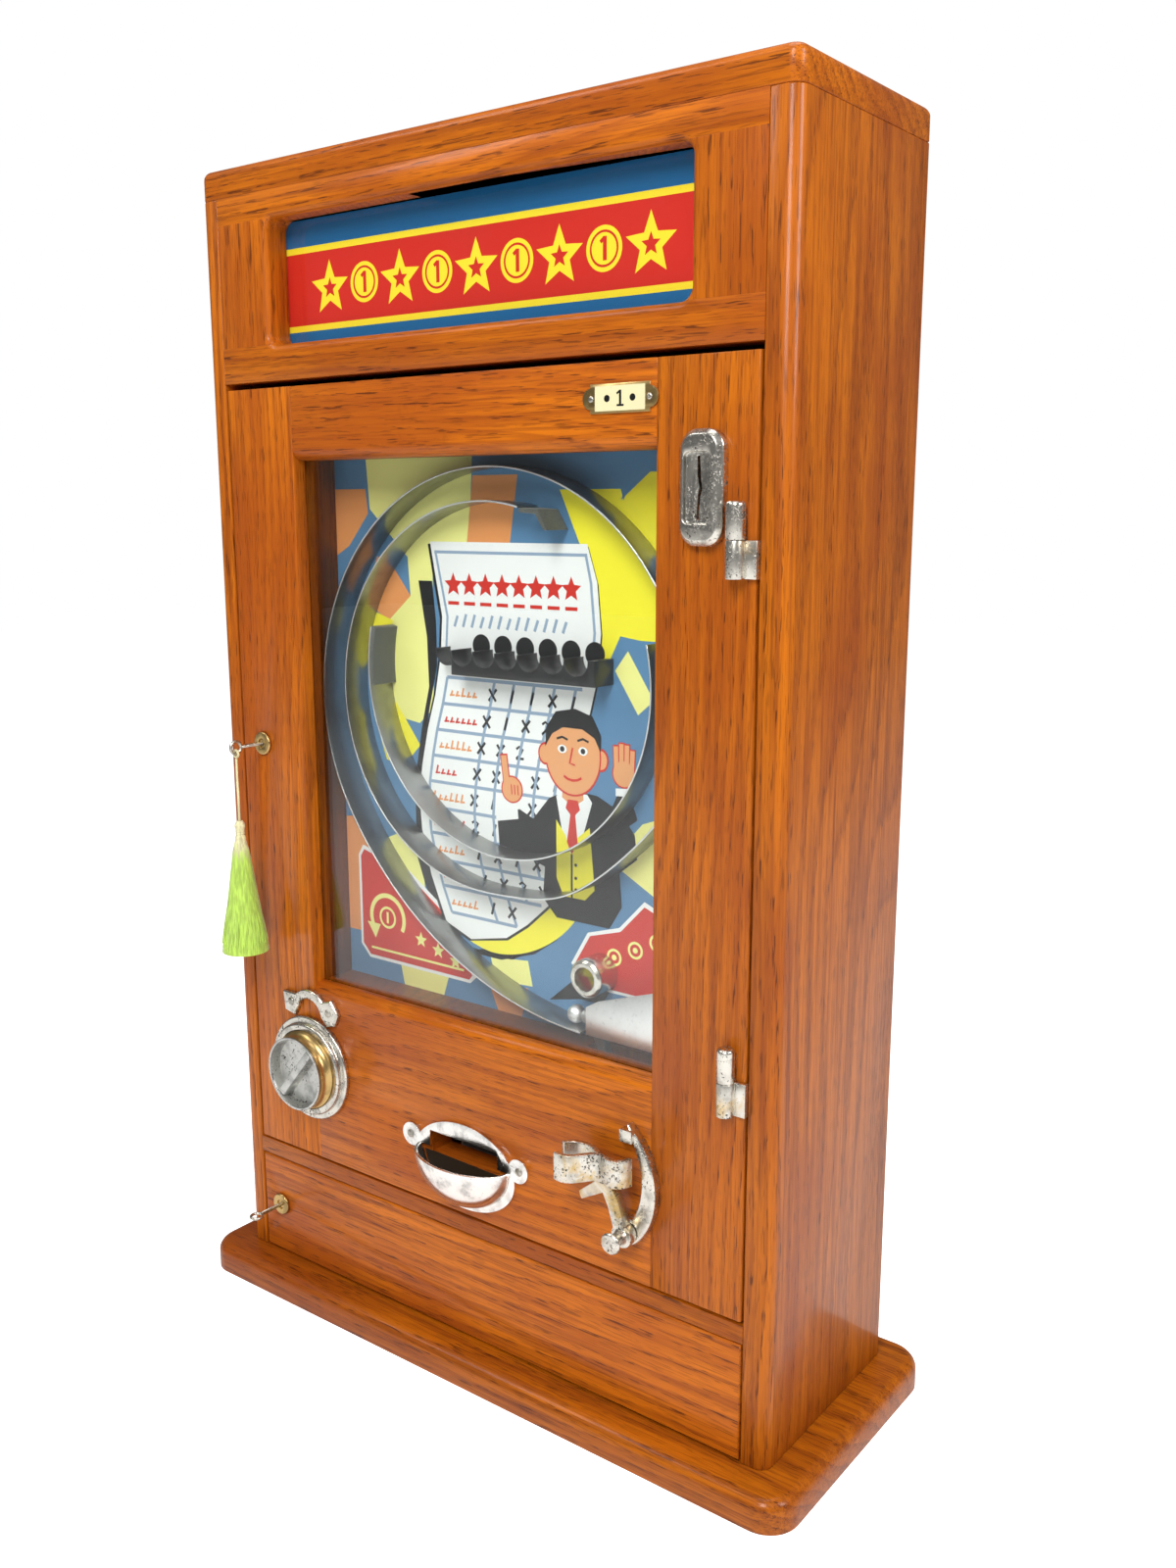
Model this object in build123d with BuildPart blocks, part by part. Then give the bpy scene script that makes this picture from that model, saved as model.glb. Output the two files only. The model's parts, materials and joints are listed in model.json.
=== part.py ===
from build123d import *
from math import atan2, cos, degrees, radians, sin, sqrt, tan
import os

# A penny-in-the-slot "allwin" wall machine in an oak case, in millimetres.
# X runs to the player's right, Y from the front into the case, Z up.
# The origin is the middle of the plinth's underside.
# Heights are above the plinth's top and depths behind the front face; h() and d() place them.

# ---- case ----
case_width = 476.0
case_depth = 156.0
case_height = 809.0
side_thickness = 18.0
top_thickness = 20.0
front_corner_radius = 9.0
back_thickness = 8.0
back_inset = 2.0
plinth_thickness = 21.0
plinth_overhang = 25.0
plinth_edge_radius = 8.0
plinth_corner_radius = 22.0
base_bolt_radius = 4.2
base_bolt_spacing_x = 360.0
base_bolt_spacing_y = 76.0

# ---- front openings, heights above the plinth ----
door_gap = 1.5
cash_door_height = 78.0
rail_height = 12.0
rail_depth = 18.0
door_height = 566.0
door_thickness = 20.0
door_head_gap = 4.5
header_bottom_rail_height = 24.0
header_top_rail_height = 18.0
header_stile_width = 47.5
header_thickness = 20.0
marquee_glass_thickness = 3.0
marquee_panel_thickness = 2.0
bead_width = 8.0

# ---- door ----
stile_width = 66.5
top_rail_height = 49.5
bottom_rail_height = 138.5
lip_radius = 8.0
edge_ease = 1.0
glass_rebate = 5.0
glass_depth = 11.0
glass_thickness = 3.0

# ---- playfield ----
playfield_margin = 11.0
playfield_wall = 8.0
playfield_bottom = 228.0
playfield_top = 616.0
board_depth = 50.0
board_thickness = 6.0
track_front_depth = 28.0
track_thickness = 1.2
ring_centre = (0.0, 446.0)
ring_radius = 159.0
launch_centre = (87.2, 498.4)
launch_radius = 260.5
launch_end_x = 76.0
middle_centre = (-5.0, 452.0)
middle_radius = 131.0
middle_end_angle = 76.0
inner_centre = (9.5, 468.0)
inner_radius = 121.0
inner_left_angle = 166.0
inner_right_angle = 374.0
pad_thickness = 4.0
pad_sweep = 20.0
ball_radius = 6.35
ball_rest_x = 65.0
ball_clearance = 0.3
cup_pitch = 19.3
cup_bore = 9.2
cup_wall = 0.9
cup_count = 6
cup_first_x = -24.3
cup_base = 468.0
cup_middle = 483.2
cup_top = 484.6
cup_reach_from_board = 20.3
cup_end_width = 5.0
nozzle_centre = (78.0, 275.0)
nozzle_radius = 13.0
nozzle_bore = 8.0
nozzle_stand = 20.0

# ---- hinges ----
knuckle_radius = 5.5
hinge_pin_radius = 2.5
hinge_length = 42.0
hinge_heights = (249.0, 561.0)
hinge_centre_depth = -6.0
hinge_axis_inset = 12.0
running_clearance = 0.05
knuckle_gap = 0.3

# ---- payout knob and slide ----
knob_inset = 5.0
knob_height = 166.0
knob_radius = 28.0
knob_front_depth = -19.0
escutcheon_radius = 40.0
escutcheon_clearance = 0.4
knob_bar_angle = 50.0
knob_turn = 70.0
shaft_radius = 5.0
shaft_clearance = 0.08
cam_radius = 34.0
cam_depth = 60.0
cam_thickness = 5.0
drive_pin_radius = 3.0
drive_pin_offset = 28.0
drive_slot_clearance = 0.6
tube_x = 29.0
tube_depth = 96.0
tube_outer_radius = 18.0
tube_bore = 16.7
tube_top = 560.0
slide_thickness = 4.0
slide_width = 38.0
slide_height = 176.0
slide_clearance = 0.3
bed_thickness = 6.0

# ---- payout cup ----
cup_centre = (-3.5, 138.0)
cup_half_width = 42.0
cup_reach = 26.0
cup_drop = 35.0
cup_shell = 2.5
cup_plate_thickness = 2.5
payout_slot_width = 62.0
payout_slot_bottom = 133.0
payout_slot_height = 17.0

# ---- trigger and hammer ----
trigger_centre = (139.0, 131.0)
trigger_shaft_radius = 4.0
gear_teeth = 20
gear_module = 2.8
gear_depth = 25.0
gear_thickness = 8.0
hammer_direction = 120.0
hammer_arm_depth = 36.0
hammer_arm_thickness = 6.0
hammer_head = (78.5, 246.5)
hammer_head_radius = 5.0
hammer_head_length = 12.0

# ---- locks and keys ----
door_lock_inset = 22.5
door_lock_height = 409.0
cash_lock_inset = 19.5
cash_lock_height = 41.0
lock_radius = 7.0
lock_flange_radius = 8.5
lock_stand_out = 4.0
plug_radius = 3.6
key_stem_radius = 1.5
key_reach = 26.0
bow_radius = 4.5
bow_wire = 1.1
tongue_length = 26.0
tongue_width = 9.0
tongue_thickness = 3.0
strike_thickness = 1.0

# ---- tassel ----
loop_radius = 2.4
cord_radius = 0.9
cord_gap = 0.4
cord_length = 46.0
tassel_head_length = 10.0
tassel_length = 98.0
tassel_bottom_radius = 17.0

# ---- cash door ----
cash_pivot_inset = 16.0
cash_pivot_depth = 6.0
cash_pivot_radius = 2.5

front = -case_depth / 2
inner_half = case_width / 2 - side_thickness
door_half = inner_half - door_gap
rail_bottom = 1.0 + cash_door_height + door_gap
door_bottom = rail_bottom + rail_height + 2.0
door_top = door_bottom + door_height
header_bottom = door_top + door_head_gap
case_inner_top = case_height - top_thickness
aperture_half = door_half - stile_width
playfield_half_width = aperture_half + playfield_margin
knob_centre = (-aperture_half - knob_inset, knob_height)
door_lock = (-door_half + door_lock_inset, door_lock_height)
cash_lock = (-door_half + cash_lock_inset, cash_lock_height)
lock_body_length = door_thickness + lock_stand_out
aperture_bottom = door_bottom + bottom_rail_height
aperture_top = door_top - top_rail_height
hinge_x = inner_half - hinge_axis_inset
board_back = board_depth + board_thickness

os.makedirs("parts", exist_ok=True)


def d(depth):
    """Y of a depth behind the front face."""
    return front + depth


def h(height):
    """Z of a height above the plinth's top."""
    return plinth_thickness + height


def front_plane(depth):
    """A sketch plane seen from the front: its x is X, its y is Z, and it extrudes towards the player."""
    return Plane(origin=(0, d(depth), plinth_thickness), x_dir=(1, 0, 0), z_dir=(0, -1, 0))


def block(x_span, depth_span, height_span, mode=Mode.ADD):
    """A rectangular block given by its X span and its spans of depth and height."""
    size = [span[1] - span[0] for span in (x_span, depth_span, height_span)]
    middle = [(span[0] + span[1]) / 2 for span in (x_span, depth_span, height_span)]
    with Locations((middle[0], d(middle[1]), h(middle[2]))):
        Box(size[0], size[1], size[2], mode=mode)


def round_bar(centre, depth_span, radius, mode=Mode.ADD):
    """A cylinder along Y at a front-view point (x, height)."""
    length = depth_span[1] - depth_span[0]
    place = Location((centre[0], d(sum(depth_span) / 2), h(centre[1])), (90, 0, 0))
    with Locations(place):
        Cylinder(radius, length, mode=mode)


def upright_bar(x, depth, height_span, radius, mode=Mode.ADD):
    """A cylinder along Z."""
    with Locations((x, d(depth), h(sum(height_span) / 2))):
        Cylinder(radius, height_span[1] - height_span[0], mode=mode)


def polar(centre, radius, angle):
    """The point at an angle, in degrees, on a circle in the front view."""
    return (centre[0] + radius * cos(radians(angle)), centre[1] + radius * sin(radians(angle)))


def save(builder, name):
    """Labels a finished piece and writes its STEP file."""
    builder.part.label = name
    export_step(builder.part, f"parts/{name}.step")


# =====================================================================
# Case
# =====================================================================
with BuildPart() as base_plinth:
    with BuildSketch(Plane.XY):
        RectangleRounded(
            case_width + 2 * plinth_overhang,
            case_depth + 2 * plinth_overhang,
            plinth_corner_radius,
        )
    extrude(amount=plinth_thickness)
    fillet(base_plinth.faces().sort_by(Axis.Z)[-1].edges(), plinth_edge_radius)
    with GridLocations(base_bolt_spacing_x, base_bolt_spacing_y, 2, 2):
        Cylinder(base_bolt_radius, 3 * plinth_thickness, mode=Mode.SUBTRACT)
    cash_pivot = (inner_half - cash_pivot_inset, cash_pivot_depth)
    upright_bar(*cash_pivot, (-8.0, 1.0), cash_pivot_radius, mode=Mode.SUBTRACT)
save(base_plinth, "base_plinth")

strike_points = {"door": door_lock, "cash": cash_lock}
tongue_depth = lock_body_length + 0.5
mortise_depth = 10.0
mortise_drop = 24.0

for name, sign in (("left_side", -1), ("right_side", 1)):
    outer = sign * case_width / 2
    inner = sign * inner_half
    with BuildPart() as side:
        block(sorted((outer, inner)), (0, case_depth), (0, case_inner_top))
        front_edges = side.edges().filter_by(Axis.Z).group_by(Axis.Y)[0]
        outer_edge = front_edges.sort_by(Axis.X)[0 if sign < 0 else -1]
        fillet(outer_edge, front_corner_radius)
        if sign < 0:
            for point in strike_points.values():
                block(
                    (-inner_half - mortise_depth, -inner_half + 1),
                    (tongue_depth - 2, tongue_depth + tongue_thickness + 2),
                    (point[1] - mortise_drop, point[1] + tongue_width),
                    mode=Mode.SUBTRACT,
                )
    save(side, name)

with BuildPart() as top_board:
    block((-case_width / 2, case_width / 2), (0, case_depth), (case_inner_top, case_height))
    fillet(top_board.edges().filter_by(Axis.Z).group_by(Axis.Y)[0], front_corner_radius)
    fillet(top_board.faces().sort_by(Axis.Z)[-1].edges(), 6.0)
save(top_board, "top_board")

with BuildPart() as back_panel:
    panel_front = case_depth - back_inset - back_thickness
    block((-inner_half, inner_half), (panel_front, case_depth - back_inset), (0, case_inner_top))
save(back_panel, "back_panel")

# ---- header frame round the marquee ----
header_window_half = inner_half - header_stile_width
header_window = (
    header_bottom + header_bottom_rail_height,
    case_inner_top - header_top_rail_height,
)
header_lip = 5.0
header_corner = 8.0
with BuildPart() as header_frame:
    block((-inner_half, inner_half), (0, header_thickness), (header_bottom, case_inner_top))
    block(
        (-header_window_half, header_window_half),
        (-1, header_thickness + 1),
        header_window,
        mode=Mode.SUBTRACT,
    )
    window_corners = [
        edge for edge in header_frame.edges().filter_by(Axis.Y) if abs(edge.center().X) < inner_half - 1
    ]
    fillet(window_corners, header_corner)
    front_face = header_frame.faces().sort_by(Axis.Y)[0]
    fillet(front_face.inner_wires()[0].edges(), header_lip)
save(header_frame, "header_frame")

marquee_margin = 10.0
marquee_span = (-header_window_half - marquee_margin, header_window_half + marquee_margin)
marquee_heights = (header_window[0] - marquee_margin, header_window[1] + marquee_margin)
marquee_back = header_thickness + marquee_glass_thickness + marquee_panel_thickness
with BuildPart() as marquee_glass:
    block(
        marquee_span,
        (header_thickness, header_thickness + marquee_glass_thickness),
        marquee_heights,
    )
save(marquee_glass, "marquee_glass")

with BuildPart() as marquee_panel:
    block(
        marquee_span,
        (header_thickness + marquee_glass_thickness, marquee_back),
        marquee_heights,
    )
save(marquee_panel, "marquee_panel")

with BuildPart() as marquee_battens:
    for height in (marquee_heights[0], marquee_heights[1] - bead_width):
        block(marquee_span, (marquee_back, marquee_back + bead_width), (height, height + bead_width))
save(marquee_battens, "marquee_battens")

# ---- shelf over the cash compartment, whose front edge is the rail under the door ----
coin_offset = 0.25
coin_x = (aperture_half + door_half) / 2 - coin_offset
coin_height = 589.0
coin_drop = ((coin_x - 7, coin_x + 7), (24.0, 58.0))
with BuildPart() as cash_shelf:
    block((-inner_half, inner_half), (0, panel_front), (rail_bottom, rail_bottom + rail_height))
    block(*coin_drop, (rail_bottom - 1, rail_bottom + rail_height + 1), mode=Mode.SUBTRACT)
    upright_bar(*cash_pivot, (rail_bottom - 1, rail_bottom + 8), cash_pivot_radius, mode=Mode.SUBTRACT)
save(cash_shelf, "cash_shelf")

tray_span = (-178.0, 206.0)
tray_depths = (34.0, 140.0)
tray_height = 56.0
tray_wall = 1.2
with BuildPart() as cash_tray:
    block(tray_span, tray_depths, (0.3, tray_height))
    block(
        (tray_span[0] + tray_wall, tray_span[1] - tray_wall),
        (tray_depths[0] + tray_wall, tray_depths[1] - tray_wall),
        (0.3 + tray_wall, tray_height + 1),
        mode=Mode.SUBTRACT,
    )
save(cash_tray, "cash_tray")

with BuildPart() as lock_strikes:
    for point in strike_points.values():
        block(
            (-inner_half, -inner_half + strike_thickness),
            (tongue_depth - 3, tongue_depth + tongue_thickness + 8),
            (point[1] - mortise_drop - 8, point[1] + tongue_width + 8),
        )
        block(
            (-inner_half - 1, -inner_half + strike_thickness + 1),
            (tongue_depth - 1.5, tongue_depth + tongue_thickness + 2),
            (point[1] - mortise_drop, point[1] + tongue_width),
            mode=Mode.SUBTRACT,
        )
save(lock_strikes, "lock_strikes")

# ---- lift-off hinges: the lower knuckle is on the case, the upper on the door ----
leaf_thickness = 1.0
hinge_half = hinge_length / 2 - knuckle_gap / 2
with BuildPart() as case_hinge_leaves:
    for height in hinge_heights:
        low = height - hinge_length / 2
        upright_bar(hinge_x, hinge_centre_depth, (low, low + hinge_half), knuckle_radius)
        block((hinge_x, inner_half - leaf_thickness), (-3.5, -0.5), (low, low + hinge_half))
        block(
            (inner_half - leaf_thickness, inner_half),
            (-3.5, rail_depth),
            (low, low + hinge_half),
        )
        upright_bar(hinge_x, hinge_centre_depth, (low + 4, height + 14), hinge_pin_radius)
save(case_hinge_leaves, "case_hinge_leaves")

with BuildPart() as door_hinge_leaves:
    for height in hinge_heights:
        low = height + knuckle_gap / 2
        upright_bar(hinge_x, hinge_centre_depth, (low, low + hinge_half), knuckle_radius)
    tops = door_hinge_leaves.faces().filter_by(GeomType.PLANE).group_by(Axis.Z)
    fillet([face.edges() for face in tops[-1] + tops[1]], 2.5)
    for height in hinge_heights:
        low = height + knuckle_gap / 2
        block((hinge_x - 4, hinge_x + 4), (hinge_centre_depth, 0), (low, low + hinge_half - 4))
        upright_bar(
            hinge_x,
            hinge_centre_depth,
            (low - 1, height + 14.5),
            hinge_pin_radius + running_clearance,
            mode=Mode.SUBTRACT,
        )
save(door_hinge_leaves, "door_hinge_leaves")

# =====================================================================
# Door frame
# =====================================================================
rebate_half = aperture_half + glass_rebate
rebate_heights = (aperture_bottom - glass_rebate, aperture_top + glass_rebate)
rebate_depths = (glass_depth, door_thickness + 1)
glass_hole = ((-rebate_half, rebate_half), rebate_depths, rebate_heights)
payout_slot = (
    (cup_centre[0] - payout_slot_width / 2, cup_centre[0] + payout_slot_width / 2),
    (payout_slot_bottom, payout_slot_bottom + payout_slot_height),
)

with BuildPart() as door_left_stile:
    block((-door_half, -aperture_half), (0, door_thickness), (door_bottom, door_top))
    chamfer(door_left_stile.edges().filter_by(Axis.Z).group_by(Axis.Y)[0].sort_by(Axis.X)[0], edge_ease)
    block(*glass_hole, mode=Mode.SUBTRACT)
    round_bar(door_lock, (-1, door_thickness + 1), lock_radius, mode=Mode.SUBTRACT)
    round_bar(knob_centre, (-1, door_thickness + 1), shaft_radius + 2, mode=Mode.SUBTRACT)
save(door_left_stile, "door_left_stile")

coin_slot_half = 17.5
with BuildPart() as door_right_stile:
    block((aperture_half, door_half), (0, door_thickness), (door_bottom, door_top))
    chamfer(door_right_stile.edges().filter_by(Axis.Z).group_by(Axis.Y)[0].sort_by(Axis.X)[-1], edge_ease)
    block(*glass_hole, mode=Mode.SUBTRACT)
    block(
        (coin_x - 2, coin_x + 2),
        (-1, door_thickness + 1),
        (coin_height - coin_slot_half, coin_height + coin_slot_half),
        mode=Mode.SUBTRACT,
    )
save(door_right_stile, "door_right_stile")

with BuildPart() as door_top_rail:
    block((-aperture_half, aperture_half), (0, door_thickness), (aperture_top, door_top))
    block(*glass_hole, mode=Mode.SUBTRACT)
    fillet(door_top_rail.edges().filter_by(Axis.X).group_by(Axis.Y)[0].sort_by(Axis.Z)[0], lip_radius)
save(door_top_rail, "door_top_rail")

gear_pitch_radius = gear_teeth * gear_module / 2
hammer_centre = polar(trigger_centre, 2 * gear_pitch_radius, hammer_direction)
with BuildPart() as door_bottom_rail:
    block((-aperture_half, aperture_half), (0, door_thickness), (door_bottom, aperture_bottom))
    block(*glass_hole, mode=Mode.SUBTRACT)
    fillet(door_bottom_rail.edges().filter_by(Axis.X).group_by(Axis.Y)[0].sort_by(Axis.Z)[-1], lip_radius)
    block(payout_slot[0], (-1, door_thickness + 1), payout_slot[1], mode=Mode.SUBTRACT)
    round_bar(knob_centre, (-1, door_thickness + 1), shaft_radius + 2, mode=Mode.SUBTRACT)
    round_bar(trigger_centre, (-1, door_thickness + 1), trigger_shaft_radius + 0.2, mode=Mode.SUBTRACT)
    round_bar(hammer_centre, (8, door_thickness + 1), trigger_shaft_radius, mode=Mode.SUBTRACT)
save(door_bottom_rail, "door_bottom_rail")

with BuildPart() as door_glass:
    block(
        (-rebate_half, rebate_half),
        (glass_depth, glass_depth + glass_thickness),
        rebate_heights,
    )
save(door_glass, "door_glass")

with BuildPart() as glass_beads:
    bead_depths = (glass_depth + glass_thickness, door_thickness)
    for sign in (-1, 1):
        span = sorted((sign * rebate_half, sign * aperture_half))
        block(span, bead_depths, rebate_heights)
    for low in (rebate_heights[0], rebate_heights[1] - glass_rebate):
        block((-aperture_half, aperture_half), bead_depths, (low, low + glass_rebate))
save(glass_beads, "glass_beads")

# =====================================================================
# Playfield
# =====================================================================
wall_outer = playfield_half_width + playfield_wall
case_heights = (playfield_bottom - playfield_wall, playfield_top + playfield_wall)
wall_depths = (door_thickness, board_depth)
with BuildPart() as playfield_board:
    block((-wall_outer, wall_outer), (board_depth, board_back), case_heights)
    round_bar(nozzle_centre, (board_depth - 1, board_back + 1), nozzle_bore + 2, mode=Mode.SUBTRACT)
save(playfield_board, "playfield_board")

arm_depths = (hammer_arm_depth, hammer_arm_depth + hammer_arm_thickness)
with BuildPart() as playfield_walls:
    block((-wall_outer, wall_outer), wall_depths, case_heights)
    block(
        (-playfield_half_width, playfield_half_width),
        (door_thickness - 1, board_depth + 1),
        (playfield_bottom, playfield_top),
        mode=Mode.SUBTRACT,
    )
    block(
        (hammer_centre[0] - 33, hammer_centre[0] + 20),
        (arm_depths[0] - 3, arm_depths[1] + 3),
        (case_heights[0] - 1, playfield_bottom + 1),
        mode=Mode.SUBTRACT,
    )
save(playfield_walls, "playfield_walls")

# ---- ball tracks: steel strips on edge, seen as thin lines from the front ----
track_width = board_depth - track_front_depth
to_ring = (ring_centre[0] - launch_centre[0], ring_centre[1] - launch_centre[1])
join_angle = degrees(atan2(to_ring[1], to_ring[0])) % 360
launch_end_angle = 270 + degrees(atan2(launch_end_x - launch_centre[0], launch_radius))
launch_join = polar(launch_centre, launch_radius, join_angle)
with BuildPart() as outer_track:
    with BuildSketch(front_plane(board_depth)):
        with BuildLine():
            CenterArc(launch_centre, launch_radius, join_angle, launch_end_angle - join_angle)
            ThreePointArc(
                launch_join,
                polar(ring_centre, ring_radius, 100),
                (ring_centre[0] + ring_radius, ring_centre[1]),
            )
        trace(line_width=track_thickness)
    extrude(amount=track_width)
save(outer_track, "outer_track")

with BuildPart() as middle_track:
    with BuildSketch(front_plane(board_depth)):
        with BuildLine():
            Spline(
                (ring_centre[0] + ring_radius, ring_centre[1] - 2),
                (139, 392),
                (82, 340),
                (middle_centre[0], middle_centre[1] - middle_radius),
                tangents=[(0, -1), (-1, 0)],
            )
            ThreePointArc(
                (middle_centre[0], middle_centre[1] - middle_radius),
                (middle_centre[0] - middle_radius, middle_centre[1]),
                polar(middle_centre, middle_radius, middle_end_angle),
            )
        trace(line_width=track_thickness)
    extrude(amount=track_width)
save(middle_track, "middle_track")

with BuildPart() as inner_track:
    with BuildSketch(front_plane(board_depth)):
        with BuildLine():
            CenterArc(inner_centre, inner_radius, inner_left_angle, inner_right_angle - inner_left_angle)
        trace(line_width=track_thickness)
    extrude(amount=track_width)
save(inner_track, "inner_track")

# ---- a felt pad inside the inner track and a deflector at the middle track's end ----
deflector_start = polar(middle_centre, middle_radius, middle_end_angle - 0.6)
with BuildPart() as track_stops:
    with BuildSketch(front_plane(board_depth)):
        with BuildLine():
            pad_radius = inner_radius - (track_thickness + pad_thickness) / 2
            CenterArc(inner_centre, pad_radius, inner_left_angle, pad_sweep)
        trace(line_width=pad_thickness)
        with BuildLine():
            Polyline(
                deflector_start,
                (deflector_start[0] + 15, deflector_start[1] - 1),
                (deflector_start[0] + 23, deflector_start[1] - 14),
                (deflector_start[0] + 20, deflector_start[1] - 14),
                (deflector_start[0] + 13, deflector_start[1] - 4),
                (deflector_start[0], deflector_start[1] - 3),
                close=True,
            )
        make_face()
    extrude(amount=track_width)
save(track_stops, "track_stops")

# ---- winner cups: round-bottomed pockets cut in a block, and one loose pocket at its left ----
cup_xs = [cup_first_x + cup_pitch * index for index in range(cup_count)]
cup_front_depth = board_depth - cup_reach_from_board
with BuildPart() as winner_cups:
    block(
        (cup_xs[0] - cup_pitch / 2, cup_xs[-1] + cup_pitch / 2 + cup_end_width),
        (cup_front_depth, board_depth),
        (cup_base, cup_top),
    )
    for x in cup_xs:
        round_bar((x, cup_middle), (cup_front_depth - 1, board_depth + 1), cup_bore, mode=Mode.SUBTRACT)
    loose_x = cup_xs[0] - cup_pitch
    loose_depths = (cup_front_depth + 6, board_depth)
    round_bar((loose_x, cup_middle), loose_depths, cup_bore + cup_wall)
    round_bar((loose_x, cup_middle), (cup_front_depth - 1, board_depth + 1), cup_bore, mode=Mode.SUBTRACT)
    block(
        (loose_x - cup_pitch, cup_xs[-1] + cup_pitch),
        (cup_front_depth - 1, board_depth + 1),
        (cup_top, cup_top + cup_pitch),
        mode=Mode.SUBTRACT,
    )
save(winner_cups, "winner_cups")

with BuildPart() as ball_nozzle:
    round_bar(nozzle_centre, (board_depth - nozzle_stand, board_depth), nozzle_radius)
    chamfer(ball_nozzle.faces().sort_by(Axis.Y)[0].edges(), 2.0)
    round_bar(nozzle_centre, (board_depth - 1, board_back + 8), nozzle_bore + 1.8)
    round_bar(
        nozzle_centre,
        (board_depth - nozzle_stand - 1, board_back + 9),
        nozzle_bore,
        mode=Mode.SUBTRACT,
    )
save(ball_nozzle, "ball_nozzle")

plate_left = 82.0
with BuildPart() as launcher_plate:
    with BuildSketch(front_plane(track_front_depth - 0.5)):
        with BuildLine():
            Polyline(
                (plate_left, 239),
                (playfield_half_width, 239),
                (playfield_half_width, 288),
                (plate_left + 10, 264),
                (plate_left, 258),
                close=True,
            )
        make_face()
    extrude(amount=1.2)
    for x in (118.0, 154.0):
        round_bar((x, 262.0), (track_front_depth - 0.5, board_depth), 3.0)
save(launcher_plate, "launcher_plate")

ball_path_radius = launch_radius - track_thickness / 2 - ball_radius - ball_clearance
ball_drop = sqrt(ball_path_radius**2 - (ball_rest_x - launch_centre[0]) ** 2)
ball_depth = (track_front_depth + board_depth) / 2
with BuildPart() as ball:
    with Locations((ball_rest_x, d(ball_depth), h(launch_centre[1] - ball_drop))):
        Sphere(ball_radius)
save(ball, "ball")

# ---- ball return behind the board ----
return_depths = (board_back, board_back + 18)
with BuildPart() as ball_return:
    start = (cup_xs[0] - 14, cup_base - 4)
    end = (nozzle_centre[0] - nozzle_radius - 3, nozzle_centre[1] + nozzle_radius + 6)
    with BuildSketch(front_plane(return_depths[1])):
        with BuildLine():
            Polyline(
                (start[0], start[1]),
                (cup_xs[-1] + 12, start[1] - 26),
                (cup_xs[-1] + 12, start[1] - 23),
                (start[0], start[1] + 3),
                close=True,
            )
        make_face()
        with BuildLine():
            Polyline(
                (cup_xs[-1] + 28, start[1] - 60),
                (end[0], end[1] + 6),
                (end[0], end[1] + 3),
                (cup_xs[-1] + 31, start[1] - 63),
                (cup_xs[-1] + 31, start[1] - 2),
                (cup_xs[-1] + 28, start[1] - 2),
                close=True,
            )
        make_face()
    extrude(amount=18)
    block(
        (start[0], cup_xs[-1] + 31),
        (return_depths[1], return_depths[1] + 1.5),
        (end[1], start[1] + 14),
    )
save(ball_return, "ball_return")

# =====================================================================
# Coin entry and coin path
# =====================================================================
with BuildPart() as coin_entry_plate:
    plate_width = 28.5
    plate_height = 63.5
    plate_thickness = 8.0
    coin_slot_width = 1.8
    with BuildSketch(front_plane(0)):
        with Locations((coin_x, coin_height)):
            RectangleRounded(plate_width, plate_height, 11.0)
    extrude(amount=plate_thickness)
    chamfer(coin_entry_plate.faces().sort_by(Axis.Y)[0].edges(), 3.0)
    with BuildSketch(front_plane(-plate_thickness)) as slot_recess:
        with Locations((coin_x - 1.5, coin_height)):
            RectangleRounded(17.0, 39.0, 3.0)
    extrude(slot_recess.sketch, amount=-3.0, mode=Mode.SUBTRACT)
    with BuildSketch(front_plane(1)) as slot_shape:
        with BuildLine():
            Polyline(
                (coin_x - 2.5, coin_height - 17.3),
                (coin_x - 1.5, coin_height - 4),
                (coin_x - 0.3, coin_height),
                (coin_x - 1.5, coin_height + 6),
                (coin_x - 2.0, coin_height + 17.3),
            )
        trace(line_width=coin_slot_width)
    extrude(slot_shape.sketch, amount=plate_thickness + 2, mode=Mode.SUBTRACT)
save(coin_entry_plate, "coin_entry_plate")

chute_inner = (coin_x - 2.0, coin_x + 2.0)
chute_depths = (door_thickness, door_thickness + 36.0)
chute_bottom = 104.0
with BuildPart() as coin_chute:
    block(
        (chute_inner[0] - 1.2, chute_inner[1] + 1.2),
        chute_depths,
        (chute_bottom, coin_height + coin_slot_half + 2),
    )
    block(
        chute_inner,
        (chute_depths[0] - 1, chute_depths[1] - 1.2),
        (chute_bottom - 1, coin_height + coin_slot_half + 0.8),
        mode=Mode.SUBTRACT,
    )
save(coin_chute, "coin_chute")

with BuildPart() as price_plate:
    price_centre = (aperture_half - 25.0, (aperture_top + door_top) / 2 + 3.95)
    with BuildSketch(front_plane(0)):
        with Locations(price_centre):
            Rectangle(42.0, 16.5)
            with Locations((-20.5, 0), (20.5, 0)):
                Circle(6.0)
    extrude(amount=1.2)
    for sign in (-1, 1):
        round_bar((price_centre[0] + sign * 20.5, price_centre[1]), (-2, 1), 1.2, mode=Mode.SUBTRACT)
save(price_plate, "price_plate")

tube_bottom = slide_height + slide_thickness + 0.4
with BuildPart() as coin_tube:
    upright_bar(tube_x, tube_depth, (tube_bottom, tube_top), tube_outer_radius)
    for height in (250.0, 520.0):
        block((tube_x - 3, tube_x + 3), (board_back, tube_depth - tube_bore), (height, height + 14))
        block((tube_x - 14, tube_x + 14), (board_back, board_back + 2), (height, height + 14))
    upright_bar(tube_x, tube_depth, (tube_bottom - 1, tube_top + 1), tube_bore, mode=Mode.SUBTRACT)
save(coin_tube, "coin_tube")

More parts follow.
